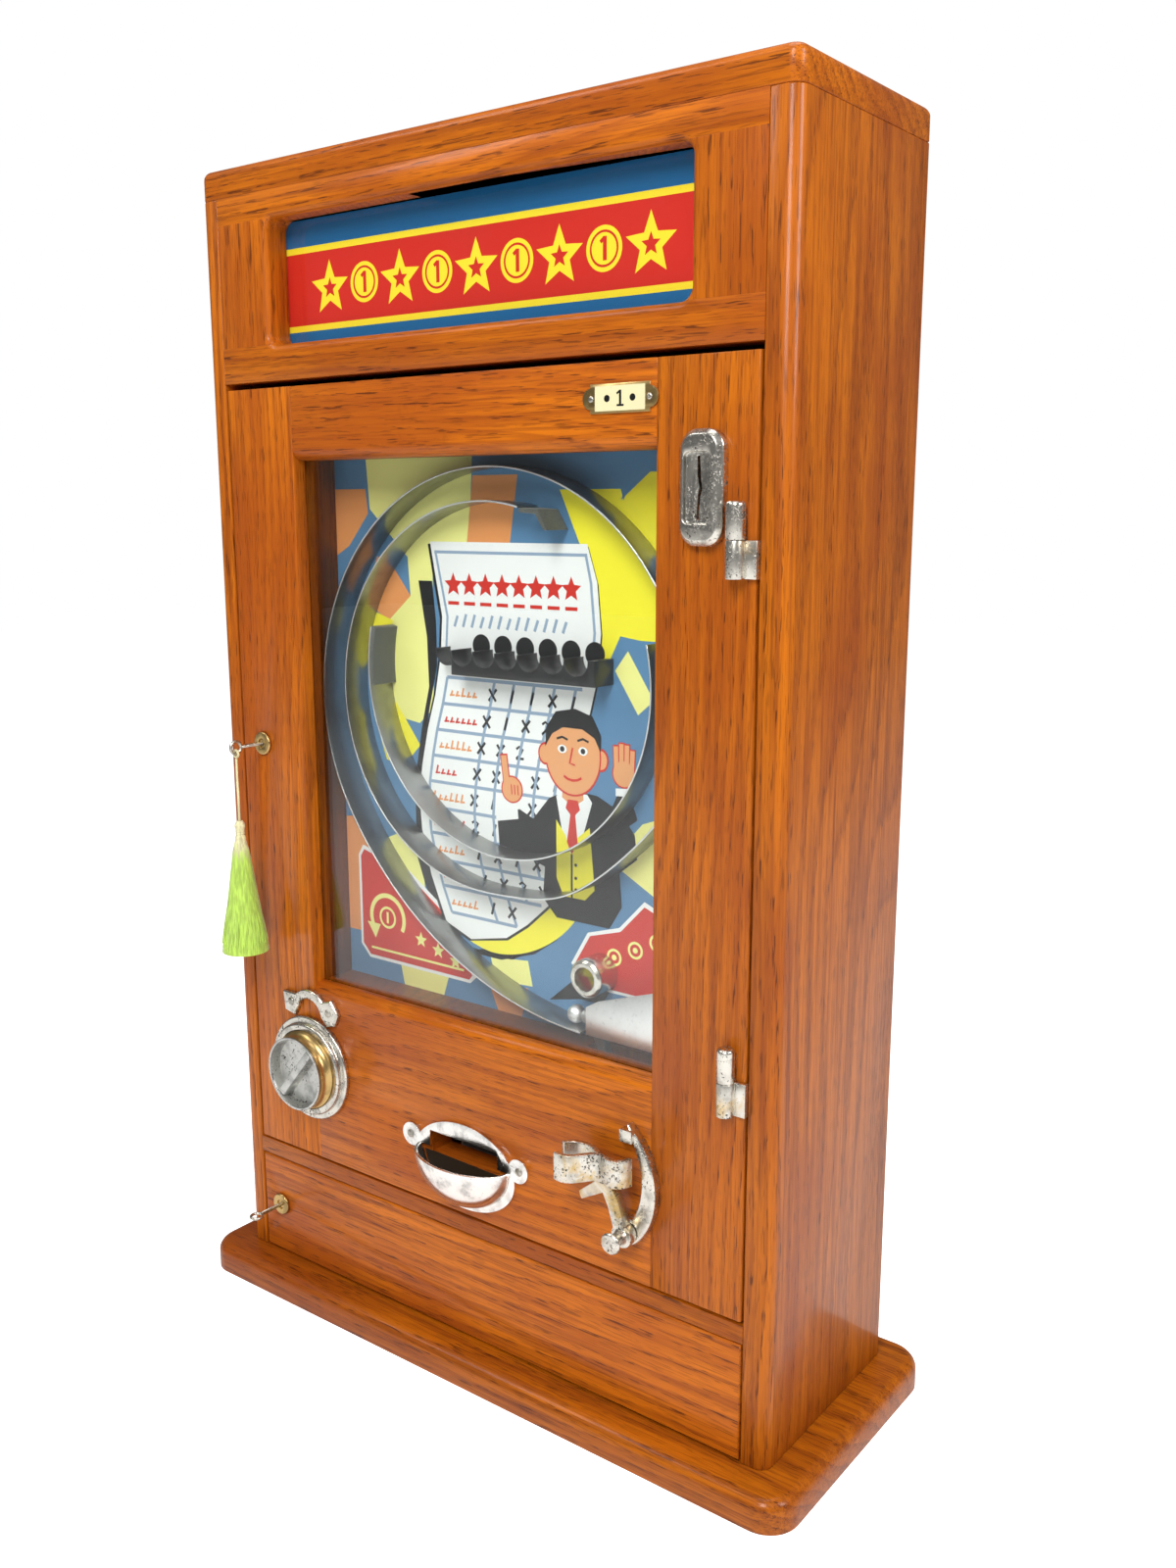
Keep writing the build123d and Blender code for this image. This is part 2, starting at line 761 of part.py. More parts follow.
# ---- payout slide: a plate with one hole that carries a coin from the tube to the drop ----
rest_angle = 90 - knob_turn / 2
pin_rest = polar(knob_centre, drive_pin_offset, rest_angle)
slide_travel = 2 * drive_pin_offset * sin(radians(knob_turn / 2))
drop_x = tube_x - slide_travel
slide_depths = (tube_depth - slide_width / 2, tube_depth + slide_width / 2)
pin_heights = (pin_rest[1], knob_centre[1] + drive_pin_offset)
slot_half = drive_pin_radius + drive_slot_clearance
with BuildPart() as payout_slide:
    block(
        (pin_rest[0] - 10, tube_x + 22),
        slide_depths,
        (slide_height, slide_height + slide_thickness),
    )
    block(
        (pin_rest[0] - 10, pin_rest[0] + 10),
        (slide_depths[0] - 4, slide_depths[0]),
        (slide_height, pin_heights[1] + slot_half + 6),
    )
    block(
        (pin_rest[0] - slot_half, pin_rest[0] + slot_half),
        (slide_depths[0] - 5, slide_depths[0] + 1),
        (pin_heights[0] - slot_half - 1, pin_heights[1] + slot_half + 1),
        mode=Mode.SUBTRACT,
    )
    upright_bar(
        tube_x,
        tube_depth,
        (slide_height - 1, slide_height + slide_thickness + 1),
        tube_bore,
        mode=Mode.SUBTRACT,
    )
save(payout_slide, "payout_slide")

bed_depths = (slide_depths[0] - 4 - slide_clearance, slide_depths[1] + 4 + slide_clearance)
bed_span = (pin_rest[0] - 12 - slide_travel, tube_x + 30)
with BuildPart() as slide_bed:
    block(bed_span, bed_depths, (slide_height - bed_thickness, slide_height))
    block(
        bed_span,
        (slide_depths[1] + slide_clearance, bed_depths[1]),
        (slide_height, slide_height + slide_thickness + 2),
    )
    block(
        (pin_rest[0] + 14, bed_span[1]),
        (bed_depths[0], slide_depths[0] - slide_clearance),
        (slide_height, slide_height + slide_thickness + 2),
    )
    for x in (pin_rest[0] + 30, tube_x + 20):
        block(
            (x - 7, x + 7),
            (door_thickness, bed_depths[1]),
            (slide_height - bed_thickness - 5, slide_height - bed_thickness),
        )
        block(
            (x - 7, x + 7),
            (door_thickness, door_thickness + 4),
            (slide_height - bed_thickness - 30, slide_height - bed_thickness),
        )
    upright_bar(
        drop_x,
        tube_depth,
        (slide_height - bed_thickness - 6, slide_height + 1),
        tube_bore + 0.5,
        mode=Mode.SUBTRACT,
    )
save(slide_bed, "slide_bed")

chute_half = payout_slot_width / 2 - 9
with BuildPart() as payout_chute:
    floor_front = payout_slot_bottom - 1.5
    floor_back = floor_front + 17
    chute_back = tube_depth + tube_bore + 4
    side_plane = Plane(
        origin=(cup_centre[0] - chute_half, 0, plinth_thickness), x_dir=(0, 1, 0), z_dir=(1, 0, 0)
    )
    with BuildSketch(side_plane):
        with BuildLine():
            Polyline(
                (d(door_thickness), floor_front),
                (d(chute_back), floor_back),
                (d(chute_back), slide_height - bed_thickness - 0.5),
                (d(door_thickness + 24), slide_height - bed_thickness - 0.5),
                (d(door_thickness), payout_slot_bottom + payout_slot_height),
                close=True,
            )
        make_face()
    extrude(amount=2 * chute_half)
    inner_plane = Plane(
        origin=(cup_centre[0] - chute_half + 1.2, 0, plinth_thickness), x_dir=(0, 1, 0), z_dir=(1, 0, 0)
    )
    with BuildSketch(inner_plane):
        with BuildLine():
            Polyline(
                (d(door_thickness - 1), floor_front + 1.2),
                (d(chute_back - 1.2), floor_back + 1.2),
                (d(chute_back - 1.2), slide_height),
                (d(door_thickness - 1), slide_height),
                close=True,
            )
        make_face()
    extrude(amount=2 * chute_half - 2.4, mode=Mode.SUBTRACT)
save(payout_chute, "payout_chute")

# =====================================================================
# Payout knob
# =====================================================================
with BuildPart() as knob_escutcheon:
    round_bar(knob_centre, (-4, 0), escutcheon_radius)
    fillet(knob_escutcheon.faces().sort_by(Axis.Y)[0].edges(), 1.5)
    round_bar(knob_centre, (-8, -3), escutcheon_radius - 4.5)
    fillet(knob_escutcheon.faces().sort_by(Axis.Y)[0].edges(), 2.0)
    round_bar(knob_centre, (-9, 1), knob_radius + 2 + escutcheon_clearance, mode=Mode.SUBTRACT)
save(knob_escutcheon, "knob_escutcheon")

knob_plane = Plane(
    origin=(knob_centre[0], d(0), h(knob_centre[1])), x_dir=(1, 0, 0), z_dir=(0, 0, 1)
)
knob_axis = Axis((knob_centre[0], d(0), h(knob_centre[1])), (0, 1, 0))
with BuildPart() as payout_knob:
    with BuildSketch(knob_plane):
        with BuildLine():
            Polyline(
                (0, -0.5),
                (knob_radius + 2, -0.5),
                (knob_radius + 2, -8.5),
            )
            ThreePointArc(
                (knob_radius + 2, -8.5),
                (knob_radius - 1.5, -13),
                (knob_radius - 1, knob_front_depth + 2),
            )
            Polyline(
                (knob_radius - 1, knob_front_depth + 2),
                (knob_radius, knob_front_depth + 1),
                (knob_radius, knob_front_depth),
                (knob_radius - 2, knob_front_depth),
                (knob_radius - 2.5, knob_front_depth + 2),
                (knob_radius - 3, knob_front_depth + 9),
                (0, knob_front_depth + 9),
                (0, -0.5),
            )
        make_face()
    revolve(axis=knob_axis)
    with BuildSketch(front_plane(knob_front_depth + 9.5)) as bar_shape:
        with Locations(Location((knob_centre[0], knob_centre[1], 0), (0, 0, knob_bar_angle))):
            Rectangle(2 * (knob_radius - 2.8), 8.0)
    extrude(bar_shape.sketch, amount=9.0, taper=8)
    round_bar(knob_centre, (-1, 2), shaft_radius - 0.5, mode=Mode.SUBTRACT)
save(payout_knob, "payout_knob")

with BuildPart() as payout_cam:
    round_bar(knob_centre, (-1, cam_depth), shaft_radius - 0.5)
    round_bar(knob_centre, (cam_depth, cam_depth + cam_thickness), cam_radius)
    round_bar(pin_rest, (cam_depth, slide_depths[0] + 1), drive_pin_radius)
save(payout_cam, "payout_cam")

spring_point = (trigger_centre[0] + 20.0, trigger_centre[1])
spring_post = (spring_point[0], 100.0)
spring_depth = 37.0
with BuildPart() as mechanism_posts:
    round_bar(knob_centre, (0.5, cam_depth - 0.3), shaft_radius + 2)
    round_bar(knob_centre, (0, cam_depth), shaft_radius - 0.5 + shaft_clearance, mode=Mode.SUBTRACT)
    round_bar(hammer_centre, (8, arm_depths[1] + 3), trigger_shaft_radius)
    round_bar(hammer_centre, (arm_depths[1] + 1, arm_depths[1] + 3), trigger_shaft_radius + 2)
    round_bar(spring_post, (door_thickness, spring_depth + 4), 2.0)
save(mechanism_posts, "mechanism_posts")

# ---- cast arrow over the knob, showing which way to turn ----
arrow_stand = 4.0
arrow_screws = (
    (knob_centre[0] - 17.0, knob_centre[1] + 49.0),
    (knob_centre[0] + 23.0, knob_centre[1] + 48.0),
)
arrow_plane = Plane(
    origin=(knob_centre[0], d(0), h(knob_centre[1])), x_dir=(1, 0, 0), z_dir=(0, -1, 0)
)
with BuildPart() as arrow_bracket:
    with BuildSketch(arrow_plane):
        with BuildLine():
            ThreePointArc((-14, 47), (1, 58), (18, 45))
        trace(line_width=7.0)
        with BuildLine():
            Polyline((-26, 56), (-9, 56), (-9, 48), (-14, 39), (-24, 41), close=True)
        make_face()
        with BuildLine():
            Polyline((14, 54), (26, 58), (33, 48), (29, 39), (21, 37), (15, 43), close=True)
        make_face()
    extrude(amount=arrow_stand)
    chamfer(arrow_bracket.faces().sort_by(Axis.Y)[0].edges(), 0.8)
    for point in arrow_screws:
        round_bar(point, (-arrow_stand - 1, 1), 1.6, mode=Mode.SUBTRACT)
save(arrow_bracket, "arrow_bracket")

# =====================================================================
# Payout cup
# =====================================================================
lug_reach = 49.0
lug_height = 142.0
bowl_place = Location((cup_centre[0], d(0), h(cup_centre[1])))
bowl_size = (cup_half_width, cup_reach, cup_drop)
hollow_size = tuple(size - cup_shell for size in bowl_size)
outer_bowl = scale(Sphere(1, mode=Mode.PRIVATE), by=bowl_size, mode=Mode.PRIVATE)
lower_half = Sphere(1, arc_size2=0, align=(Align.CENTER, Align.CENTER, Align.MAX), mode=Mode.PRIVATE)
bowl_hollow = scale(lower_half, by=hollow_size, mode=Mode.PRIVATE)
with BuildPart() as payout_cup:
    with Locations(bowl_place):
        add(outer_bowl)
    block((-100, 100), (-60, 60), (cup_centre[1], cup_centre[1] + 60), mode=Mode.SUBTRACT)
    block((-100, 100), (-0.01, 60), (cup_centre[1] - 60, cup_centre[1] + 1), mode=Mode.SUBTRACT)
    with BuildSketch(front_plane(0)) as cup_plate:
        with Locations((cup_centre[0], 131.0)):
            Ellipse(46.0, 31.0)
        with Locations((cup_centre[0] - lug_reach, lug_height), (cup_centre[0] + lug_reach, lug_height)):
            Circle(8.5)
    extrude(cup_plate.sketch, amount=cup_plate_thickness)
    with Locations(bowl_place):
        add(bowl_hollow, mode=Mode.SUBTRACT)
    block(payout_slot[0], (-cup_plate_thickness - 1, 1), payout_slot[1], mode=Mode.SUBTRACT)
    for sign in (-1, 1):
        point = (cup_centre[0] + sign * (lug_reach + 1), lug_height)
        round_bar(point, (-cup_plate_thickness - 1, 1), 1.6, mode=Mode.SUBTRACT)
save(payout_cup, "payout_cup")

# ---- wood screws and plate pins, all with the same slotted head ----
with BuildPart() as wood_screws:
    cup_screws = [(cup_centre[0] + sign * (lug_reach + 1), lug_height) for sign in (-1, 1)]
    heads = [(point, -cup_plate_thickness) for point in cup_screws]
    heads += [(point, -arrow_stand) for point in arrow_screws]
    for point, face_depth in heads:
        round_bar(point, (face_depth, 16), 1.5)
        round_bar(point, (face_depth - 1.2, face_depth), 3.0)
        block(
            (point[0] - 3.5, point[0] + 3.5),
            (face_depth - 1.3, face_depth - 0.5),
            (point[1] - 0.4, point[1] + 0.4),
            mode=Mode.SUBTRACT,
        )
    for sign in (-1, 1):
        point = (price_centre[0] + sign * 20.5, price_centre[1])
        round_bar(point, (-1.2, 10), 1.1)
        round_bar(point, (-2.0, -1.2), 1.9)
save(wood_screws, "wood_screws")

# =====================================================================
# Trigger and hammer
# =====================================================================
bow_thickness = 7.0
with BuildPart() as trigger_bow:
    with BuildSketch(front_plane(0)):
        with BuildLine():
            ThreePointArc((138, 203), (159, 165), (146, 125))
            Line((146, 125), (139, 131))
            Line((139, 131), (142, 140))
            ThreePointArc((142, 140), (149, 166), (143, 190))
            Line((143, 190), (138, 203))
        make_face()
        with Locations(trigger_centre):
            Circle(9.0)
    extrude(amount=bow_thickness)
    chamfer(trigger_bow.faces().sort_by(Axis.Y)[0].edges(), 1.0)
    block((134, 143), (-9, 0), (192, 200))
    round_bar(trigger_centre, (-12, 1), trigger_shaft_radius + shaft_clearance, mode=Mode.SUBTRACT)
save(trigger_bow, "trigger_bow")

lever_depths = (-14.0, -7.4)
finger_heights = (166.0, 184.0)
stud_tip_depth = -25.0
with BuildPart() as trigger_lever:
    with BuildSketch(front_plane(lever_depths[1])):
        with BuildLine():
            Polyline(trigger_centre, (133, 150), (122, 172))
        trace(line_width=9.0)
        with Locations(trigger_centre):
            Circle(7.5)
        with BuildLine():
            Polyline((106, 152), (108, 147), (126, 157), (122, 165), close=True)
        make_face()
    extrude(amount=lever_depths[1] - lever_depths[0])
    finger_plane = Plane(origin=(0, 0, h(finger_heights[0])), x_dir=(1, 0, 0), z_dir=(0, 0, 1))
    with BuildSketch(finger_plane):
        with BuildLine():
            Spline(
                (144, d(-11)),
                (136, d(-20)),
                (124, d(-18)),
                (113, d(-29)),
                (101, d(-31)),
            )
        trace(line_width=3.6)
        with BuildLine():
            Spline((124, d(-18)), (114, d(-11)), (101, d(-12)), (96, d(-17)))
        trace(line_width=3.2)
    extrude(amount=finger_heights[1] - finger_heights[0])
    stud_plane = Plane(
        origin=(trigger_centre[0], d(0), h(trigger_centre[1])), x_dir=(1, 0, 0), z_dir=(0, 0, 1)
    )
    with BuildSketch(stud_plane):
        with BuildLine():
            Polyline((0, -13), (5.5, -13), (4.2, -17))
            ThreePointArc((4.2, -17), (5.0, -21.5), (7.2, stud_tip_depth))
            Polyline((7.2, stud_tip_depth), (6.2, stud_tip_depth - 1.2), (0, stud_tip_depth - 1.2), (0, -13))
        make_face()
    revolve(axis=Axis((trigger_centre[0], d(0), h(trigger_centre[1])), (0, 1, 0)))
    round_bar(trigger_centre, (-12, -7), trigger_shaft_radius, mode=Mode.SUBTRACT)
save(trigger_lever, "trigger_lever")


def gear_outline(centre, first_angle):
    """A straight-flanked gear as a sketch in the current plane."""
    outer = gear_pitch_radius + 0.8 * gear_module
    root = gear_pitch_radius - 1.15 * gear_module
    half_tip = outer * sin(radians(1.6))
    half_root = root * sin(radians(6.5))
    with Locations(centre):
        Circle(root)
    for tooth in range(gear_teeth):
        angle = first_angle + tooth * 360 / gear_teeth
        with Locations(Location((centre[0], centre[1], 0), (0, 0, angle))):
            Polygon(
                (root - 1, -half_root),
                (outer, -half_tip),
                (outer, half_tip),
                (root - 1, half_root),
                align=None,
            )


tooth_angle = 360 / gear_teeth
with BuildPart() as trigger_gear:
    with BuildSketch(front_plane(gear_depth + gear_thickness)):
        gear_outline(trigger_centre, hammer_direction)
    extrude(amount=gear_thickness)
    round_bar(trigger_centre, (-12, gear_depth + gear_thickness + 4), trigger_shaft_radius)
    round_bar(spring_point, (gear_depth + 1, spring_depth + 4), 1.5)
save(trigger_gear, "trigger_gear")

arm_to_head = (hammer_head[0] - hammer_centre[0], hammer_head[1] - hammer_centre[1])
with BuildPart() as hammer:
    with BuildSketch(front_plane(gear_depth + gear_thickness)):
        gear_outline(hammer_centre, hammer_direction + 180 + tooth_angle / 2)
    extrude(amount=gear_thickness)
    round_bar(hammer_centre, (gear_depth, arm_depths[1]), trigger_shaft_radius + 5)
    with BuildSketch(front_plane(arm_depths[1])):
        with BuildLine():
            Line(hammer_centre, hammer_head)
        trace(line_width=6.0)
    extrude(amount=hammer_arm_thickness)
    with Locations(Location((hammer_head[0], d(ball_depth), h(hammer_head[1])), (0, 90, 0))):
        Cylinder(hammer_head_radius, hammer_head_length)
    round_bar(
        hammer_centre,
        (gear_depth - 1, arm_depths[1] + 1),
        trigger_shaft_radius + shaft_clearance,
        mode=Mode.SUBTRACT,
    )
save(hammer, "hammer")

spring_radius = 4.0
spring_wire = 0.9
with BuildPart() as trigger_spring:
    low = spring_post[1] + 2.2
    high = spring_point[1] - 1.7
    upright_bar(spring_point[0], spring_depth, (low, high), spring_radius)
    upright_bar(
        spring_point[0],
        spring_depth,
        (low - 1, high + 1),
        spring_radius - spring_wire,
        mode=Mode.SUBTRACT,
    )
save(trigger_spring, "trigger_spring")

# =====================================================================
# Cash door, locks and keys
# =====================================================================
with BuildPart() as cash_door:
    block((-door_half, door_half), (0, rail_depth), (1.0, 1.0 + cash_door_height))
    chamfer(cash_door.faces().sort_by(Axis.Y)[0].edges(), edge_ease)
    round_bar(cash_lock, (-1, rail_depth + 1), lock_radius, mode=Mode.SUBTRACT)
    upright_bar(
        *cash_pivot,
        (-6.0, rail_bottom + 6.0),
        cash_pivot_radius - running_clearance,
    )
save(cash_door, "cash_door")


def make_lock(point, name):
    """A cam lock's barrel: flange, body and back nut."""
    with BuildPart() as barrel:
        round_bar(point, (-2.5, 0), lock_flange_radius)
        fillet(barrel.faces().sort_by(Axis.Y)[0].edges(), 1.2)
        round_bar(point, (-0.5, lock_body_length), lock_radius)
        round_bar(point, (door_thickness, lock_body_length - 0.5), lock_radius + 3)
        round_bar(point, (-3, lock_body_length + 1), plug_radius + running_clearance, mode=Mode.SUBTRACT)
    save(barrel, name)


def make_tongue(point, name):
    """The lock's plug with its tongue, which hangs down when unlocked."""
    with BuildPart() as tongue:
        round_bar(point, (-1.5, tongue_depth), plug_radius)
        with BuildSketch(front_plane(tongue_depth + tongue_thickness)):
            with Locations((point[0], point[1] - tongue_length / 2)):
                SlotCenterToCenter(tongue_length - tongue_width / 2, tongue_width, rotation=90)
        extrude(amount=tongue_thickness)
        round_bar(point, (-2, 14), key_stem_radius, mode=Mode.SUBTRACT)
    save(tongue, name)


def make_key(point, bow_turn, name):
    """A key in its lock: a stem and a ring bow, upright at bow_turn 0 and level at 90."""
    with BuildPart() as key:
        round_bar(point, (-key_reach + bow_radius, 13), key_stem_radius)
        place = Location((point[0], d(-key_reach), h(point[1])), (0, 90 + bow_turn, 0))
        with Locations(place):
            Torus(bow_radius, bow_wire)
    save(key, name)


make_lock(door_lock, "door_lock")
make_tongue(door_lock, "door_lock_tongue")
make_key(door_lock, 0, "door_key")
make_lock(cash_lock, "cash_lock")
make_tongue(cash_lock, "cash_lock_tongue")
make_key(cash_lock, 90, "cash_key")

# =====================================================================
# Tassel on the door key
# =====================================================================
loop_centre = (door_lock[0], -key_reach, door_lock[1] - bow_radius)
with BuildPart() as tassel_loop:
    with Locations(Location((loop_centre[0], d(loop_centre[1]), h(loop_centre[2])), (90, 0, 0))):
        Torus(loop_radius, cord_radius)
save(tassel_loop, "tassel_loop")

cord_top = loop_centre[2] - loop_radius - cord_radius - cord_gap
cord_route = [
    (-196.0, -26.0, cord_top),
    (-196.3, -26.1, cord_top - 15.0),
    (-195.7, -25.9, cord_top - 31.0),
    (-196.0, -26.0, cord_top - cord_length),
]
route_points = [Vector(x, d(depth), h(height)) for x, depth, height in cord_route]
route_radii = []
for before, corner, after in zip(route_points, route_points[1:], route_points[2:]):
    run_in = corner - before
    run_out = after - corner
    half_turn = radians(run_in.get_angle(run_out)) / 2
    route_radii.append(0.45 * min(run_in.length, run_out.length) / tan(half_turn))
print("tassel cord radii", [round(radius) for radius in route_radii])
with BuildPart() as tassel_cord:
    with BuildLine() as cord_line:
        FilletPolyline(*route_points, radius=route_radii)
    with BuildSketch(Plane(origin=route_points[0], z_dir=route_points[1] - route_points[0])):
        Circle(cord_radius)
    sweep()
save(tassel_cord, "tassel_cord")
drawn_length = sum(edge.length for edge in cord_line.line.edges())
print("tassel cord length", round(drawn_length, 1), "volume", round(tassel_cord.part.volume, 1))

tassel_top = cord_top - cord_length - 0.05
tassel_plane = Plane(
    origin=(door_lock[0], d(-key_reach), plinth_thickness), x_dir=(1, 0, 0), z_dir=(0, -1, 0)
)
with BuildPart() as tassel:
    with BuildSketch(tassel_plane):
        with BuildLine():
            neck = tassel_top - tassel_head_length
            bottom = tassel_top - tassel_length
            Polyline(
                (0, tassel_top),
                (2.5, tassel_top),
                (3.8, tassel_top - 3),
                (2.8, neck),
                (6.0, neck - 12),
                (tassel_bottom_radius, bottom),
                (0, bottom),
                close=True,
            )
        make_face()
    revolve(axis=Axis((door_lock[0], d(-key_reach), 0), (0, 0, 1)))
save(tassel, "tassel")
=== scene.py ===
"""The looks of an oak ball-flick penny machine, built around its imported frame."""

import json
import math
import random

import bmesh
import bpy
from bpy.props import FloatProperty, FloatVectorProperty, IntProperty, PointerProperty
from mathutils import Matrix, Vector


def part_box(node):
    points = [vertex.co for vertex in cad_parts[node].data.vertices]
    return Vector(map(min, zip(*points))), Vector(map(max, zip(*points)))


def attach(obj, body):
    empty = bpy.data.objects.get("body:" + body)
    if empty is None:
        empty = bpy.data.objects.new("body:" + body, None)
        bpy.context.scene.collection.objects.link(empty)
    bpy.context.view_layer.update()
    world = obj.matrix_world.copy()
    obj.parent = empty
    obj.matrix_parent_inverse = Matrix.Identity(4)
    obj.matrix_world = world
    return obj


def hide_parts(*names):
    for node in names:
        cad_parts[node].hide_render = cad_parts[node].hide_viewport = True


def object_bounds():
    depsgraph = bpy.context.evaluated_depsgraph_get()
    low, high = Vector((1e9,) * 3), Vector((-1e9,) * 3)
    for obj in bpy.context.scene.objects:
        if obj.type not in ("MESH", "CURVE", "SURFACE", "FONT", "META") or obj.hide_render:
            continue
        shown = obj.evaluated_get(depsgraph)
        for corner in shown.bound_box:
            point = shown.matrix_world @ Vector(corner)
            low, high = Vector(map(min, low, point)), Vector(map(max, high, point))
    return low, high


bl_info = {
    "name": "Oak Ball Flick Machine",
    "version": (1, 0, 0),
    "blender": (4, 5, 0),
    "location": "3D View > Sidebar > Machine",
    "description": "Builds the finished looks of a wall mounted penny machine",
    "category": "Object",
}

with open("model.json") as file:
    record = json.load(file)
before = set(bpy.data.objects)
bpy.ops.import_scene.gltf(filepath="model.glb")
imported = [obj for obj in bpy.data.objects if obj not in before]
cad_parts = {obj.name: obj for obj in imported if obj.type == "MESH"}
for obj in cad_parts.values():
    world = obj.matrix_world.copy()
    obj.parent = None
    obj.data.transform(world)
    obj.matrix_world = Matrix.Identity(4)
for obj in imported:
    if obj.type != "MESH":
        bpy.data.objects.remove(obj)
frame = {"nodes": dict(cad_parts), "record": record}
cad_low, cad_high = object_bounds()

MM = 0.001
FACE_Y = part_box("left_side")[0].y
PLINTH_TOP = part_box("base_plinth")[1].z
BOARD_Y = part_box("playfield_board")[0].y
PANEL_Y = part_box("marquee_panel")[0].y
INK_STEP = 0.04 * MM
INK_ROOT = 0.3 * MM
CUP_HEIGHT = 138.0
HEAD_DEPTH = 11.0 * MM
TASSEL_ROUTE = (
    (-196.0, -26.0, 0.0),
    (-196.3, -26.1, -15.0),
    (-195.7, -25.9, -31.0),
    (-196.0, -26.0, -46.0),
)
CAMERA_PLACE = (0.60831, -0.74588, 0.59806)
CAMERA_TURN = (78.929, 0.067, 37.084)
WHITE = (1.0, 1.0, 1.0, 1.0)
HEAD_PROFILE = (
    (0.9, 0.0), (2.2, 0.3), (3.3, 1.6), (3.8, 3.6), (3.5, 5.4), (2.9, 6.6), (3.3, 7.2), (3.4, 7.8),
    (3.0, 8.3), (3.4, 8.9), (3.4, 9.5), (3.0, 10.0), (3.6, 11.2), (4.1, 13.0), (3.6, 15.5), (2.4, 17.0),
)
FITTINGS = {
    "coin_entry_plate": ("nickel_worn", 0.5),
    "case_hinge_leaves": ("nickel_brassed", 0.3),
    "door_hinge_leaves": ("nickel_worn", 0.3),
    "knob_escutcheon": ("nickel_worn", 0.3),
    "arrow_bracket": ("nickel_worn", 0.5),
    "payout_cup": ("nickel_bright", 0.4),
    "trigger_bow": ("nickel_worn", 0.7),
    "trigger_lever": ("nickel_brassed", 0.6),
    "door_lock": ("aged_brass", 0.3),
    "cash_lock": ("aged_brass", 0.3),
    "door_lock_tongue": ("aged_brass", 0.3),
    "cash_lock_tongue": ("aged_brass", 0.3),
    "lock_strikes": ("aged_brass", 0.2),
    "door_key": ("key_steel", 0.0),
    "cash_key": ("key_steel", 0.0),
}


# Shader node helpers
def feed(tree, node, inputs):
    """Sets or links a node's inputs."""
    for name, value in inputs.items():
        if isinstance(value, bpy.types.NodeSocket):
            tree.links.new(value, node.inputs[name])
        else:
            node.inputs[name].default_value = value
    return node


def put(tree, kind, inputs=None, **settings):
    """Adds a node, sets its properties, and sets or links its inputs."""
    made = tree.nodes.new(kind)
    for name, value in settings.items():
        setattr(made, name, value)
    return feed(tree, made, inputs or {})


def calc(tree, operation, first, second=None, clamp=False):
    """A Math node's result."""
    inputs = {0: first} if second is None else {0: first, 1: second}
    return put(tree, "ShaderNodeMath", inputs, operation=operation, use_clamp=clamp).outputs[0]


def plus(tree, first, second, clamp=False):
    """A sum."""
    return calc(tree, "ADD", first, second, clamp)


def minus(tree, first, second):
    """A difference."""
    return calc(tree, "SUBTRACT", first, second)


def times(tree, first, second, clamp=False):
    """A product."""
    return calc(tree, "MULTIPLY", first, second, clamp)


def step_up(tree, value, low, high, ease="SMOOTHSTEP"):
    """A rise from 0 at low to 1 at high."""
    limits = {"Value": value, "From Min": low, "From Max": high}
    return put(tree, "ShaderNodeMapRange", limits, interpolation_type=ease).outputs["Result"]


def blend(tree, amount, first, second):
    """Two colours mixed by an amount."""
    return put(tree, "ShaderNodeMix", {0: amount, 6: first, 7: second}, data_type="RGBA").outputs[2]


def stained(tree, shade, mask, strength, colour):
    """A shade with a colour laid over it where a mask is high."""
    return blend(tree, times(tree, mask, strength), shade, colour)


def noise(tree, vector, scale, detail=3.0, rough=0.5, twist=0.0):
    """A noise texture's value, at one scale or a scale for each axis."""
    if isinstance(scale, tuple):
        stretch = put(tree, "ShaderNodeVectorMath", {0: vector, 1: scale}, operation="MULTIPLY")
        vector, scale = stretch.outputs[0], 1.0
    inputs = {"Vector": vector, "Scale": scale, "Detail": detail, "Roughness": rough, "Distortion": twist}
    return put(tree, "ShaderNodeTexNoise", inputs).outputs[0]


def new_tree(name, kind, inputs, outputs):
    """A node tree with named sockets, its entry and its exit."""
    tree = bpy.data.node_groups.new(name, kind)
    for side, rows in (("INPUT", inputs), ("OUTPUT", outputs)):
        for label, (sort, default) in rows.items():
            socket = tree.interface.new_socket(name=label, in_out=side, socket_type="NodeSocket" + sort)
            if default is not None:
                socket.default_value = default
    return tree, tree.nodes.new("NodeGroupInput"), tree.nodes.new("NodeGroupOutput")


def new_group(name, values, masks):
    """A shader group on a vector, with values to set and masks to give out."""
    inputs = {"Vector": ("Vector", None)}
    inputs.update({label: ("Float", default) for label, default in values.items()})
    tree, entry, leave = new_tree(name, "ShaderNodeTree", inputs, dict.fromkeys(masks, ("Float", None)))
    return tree, entry.outputs, leave


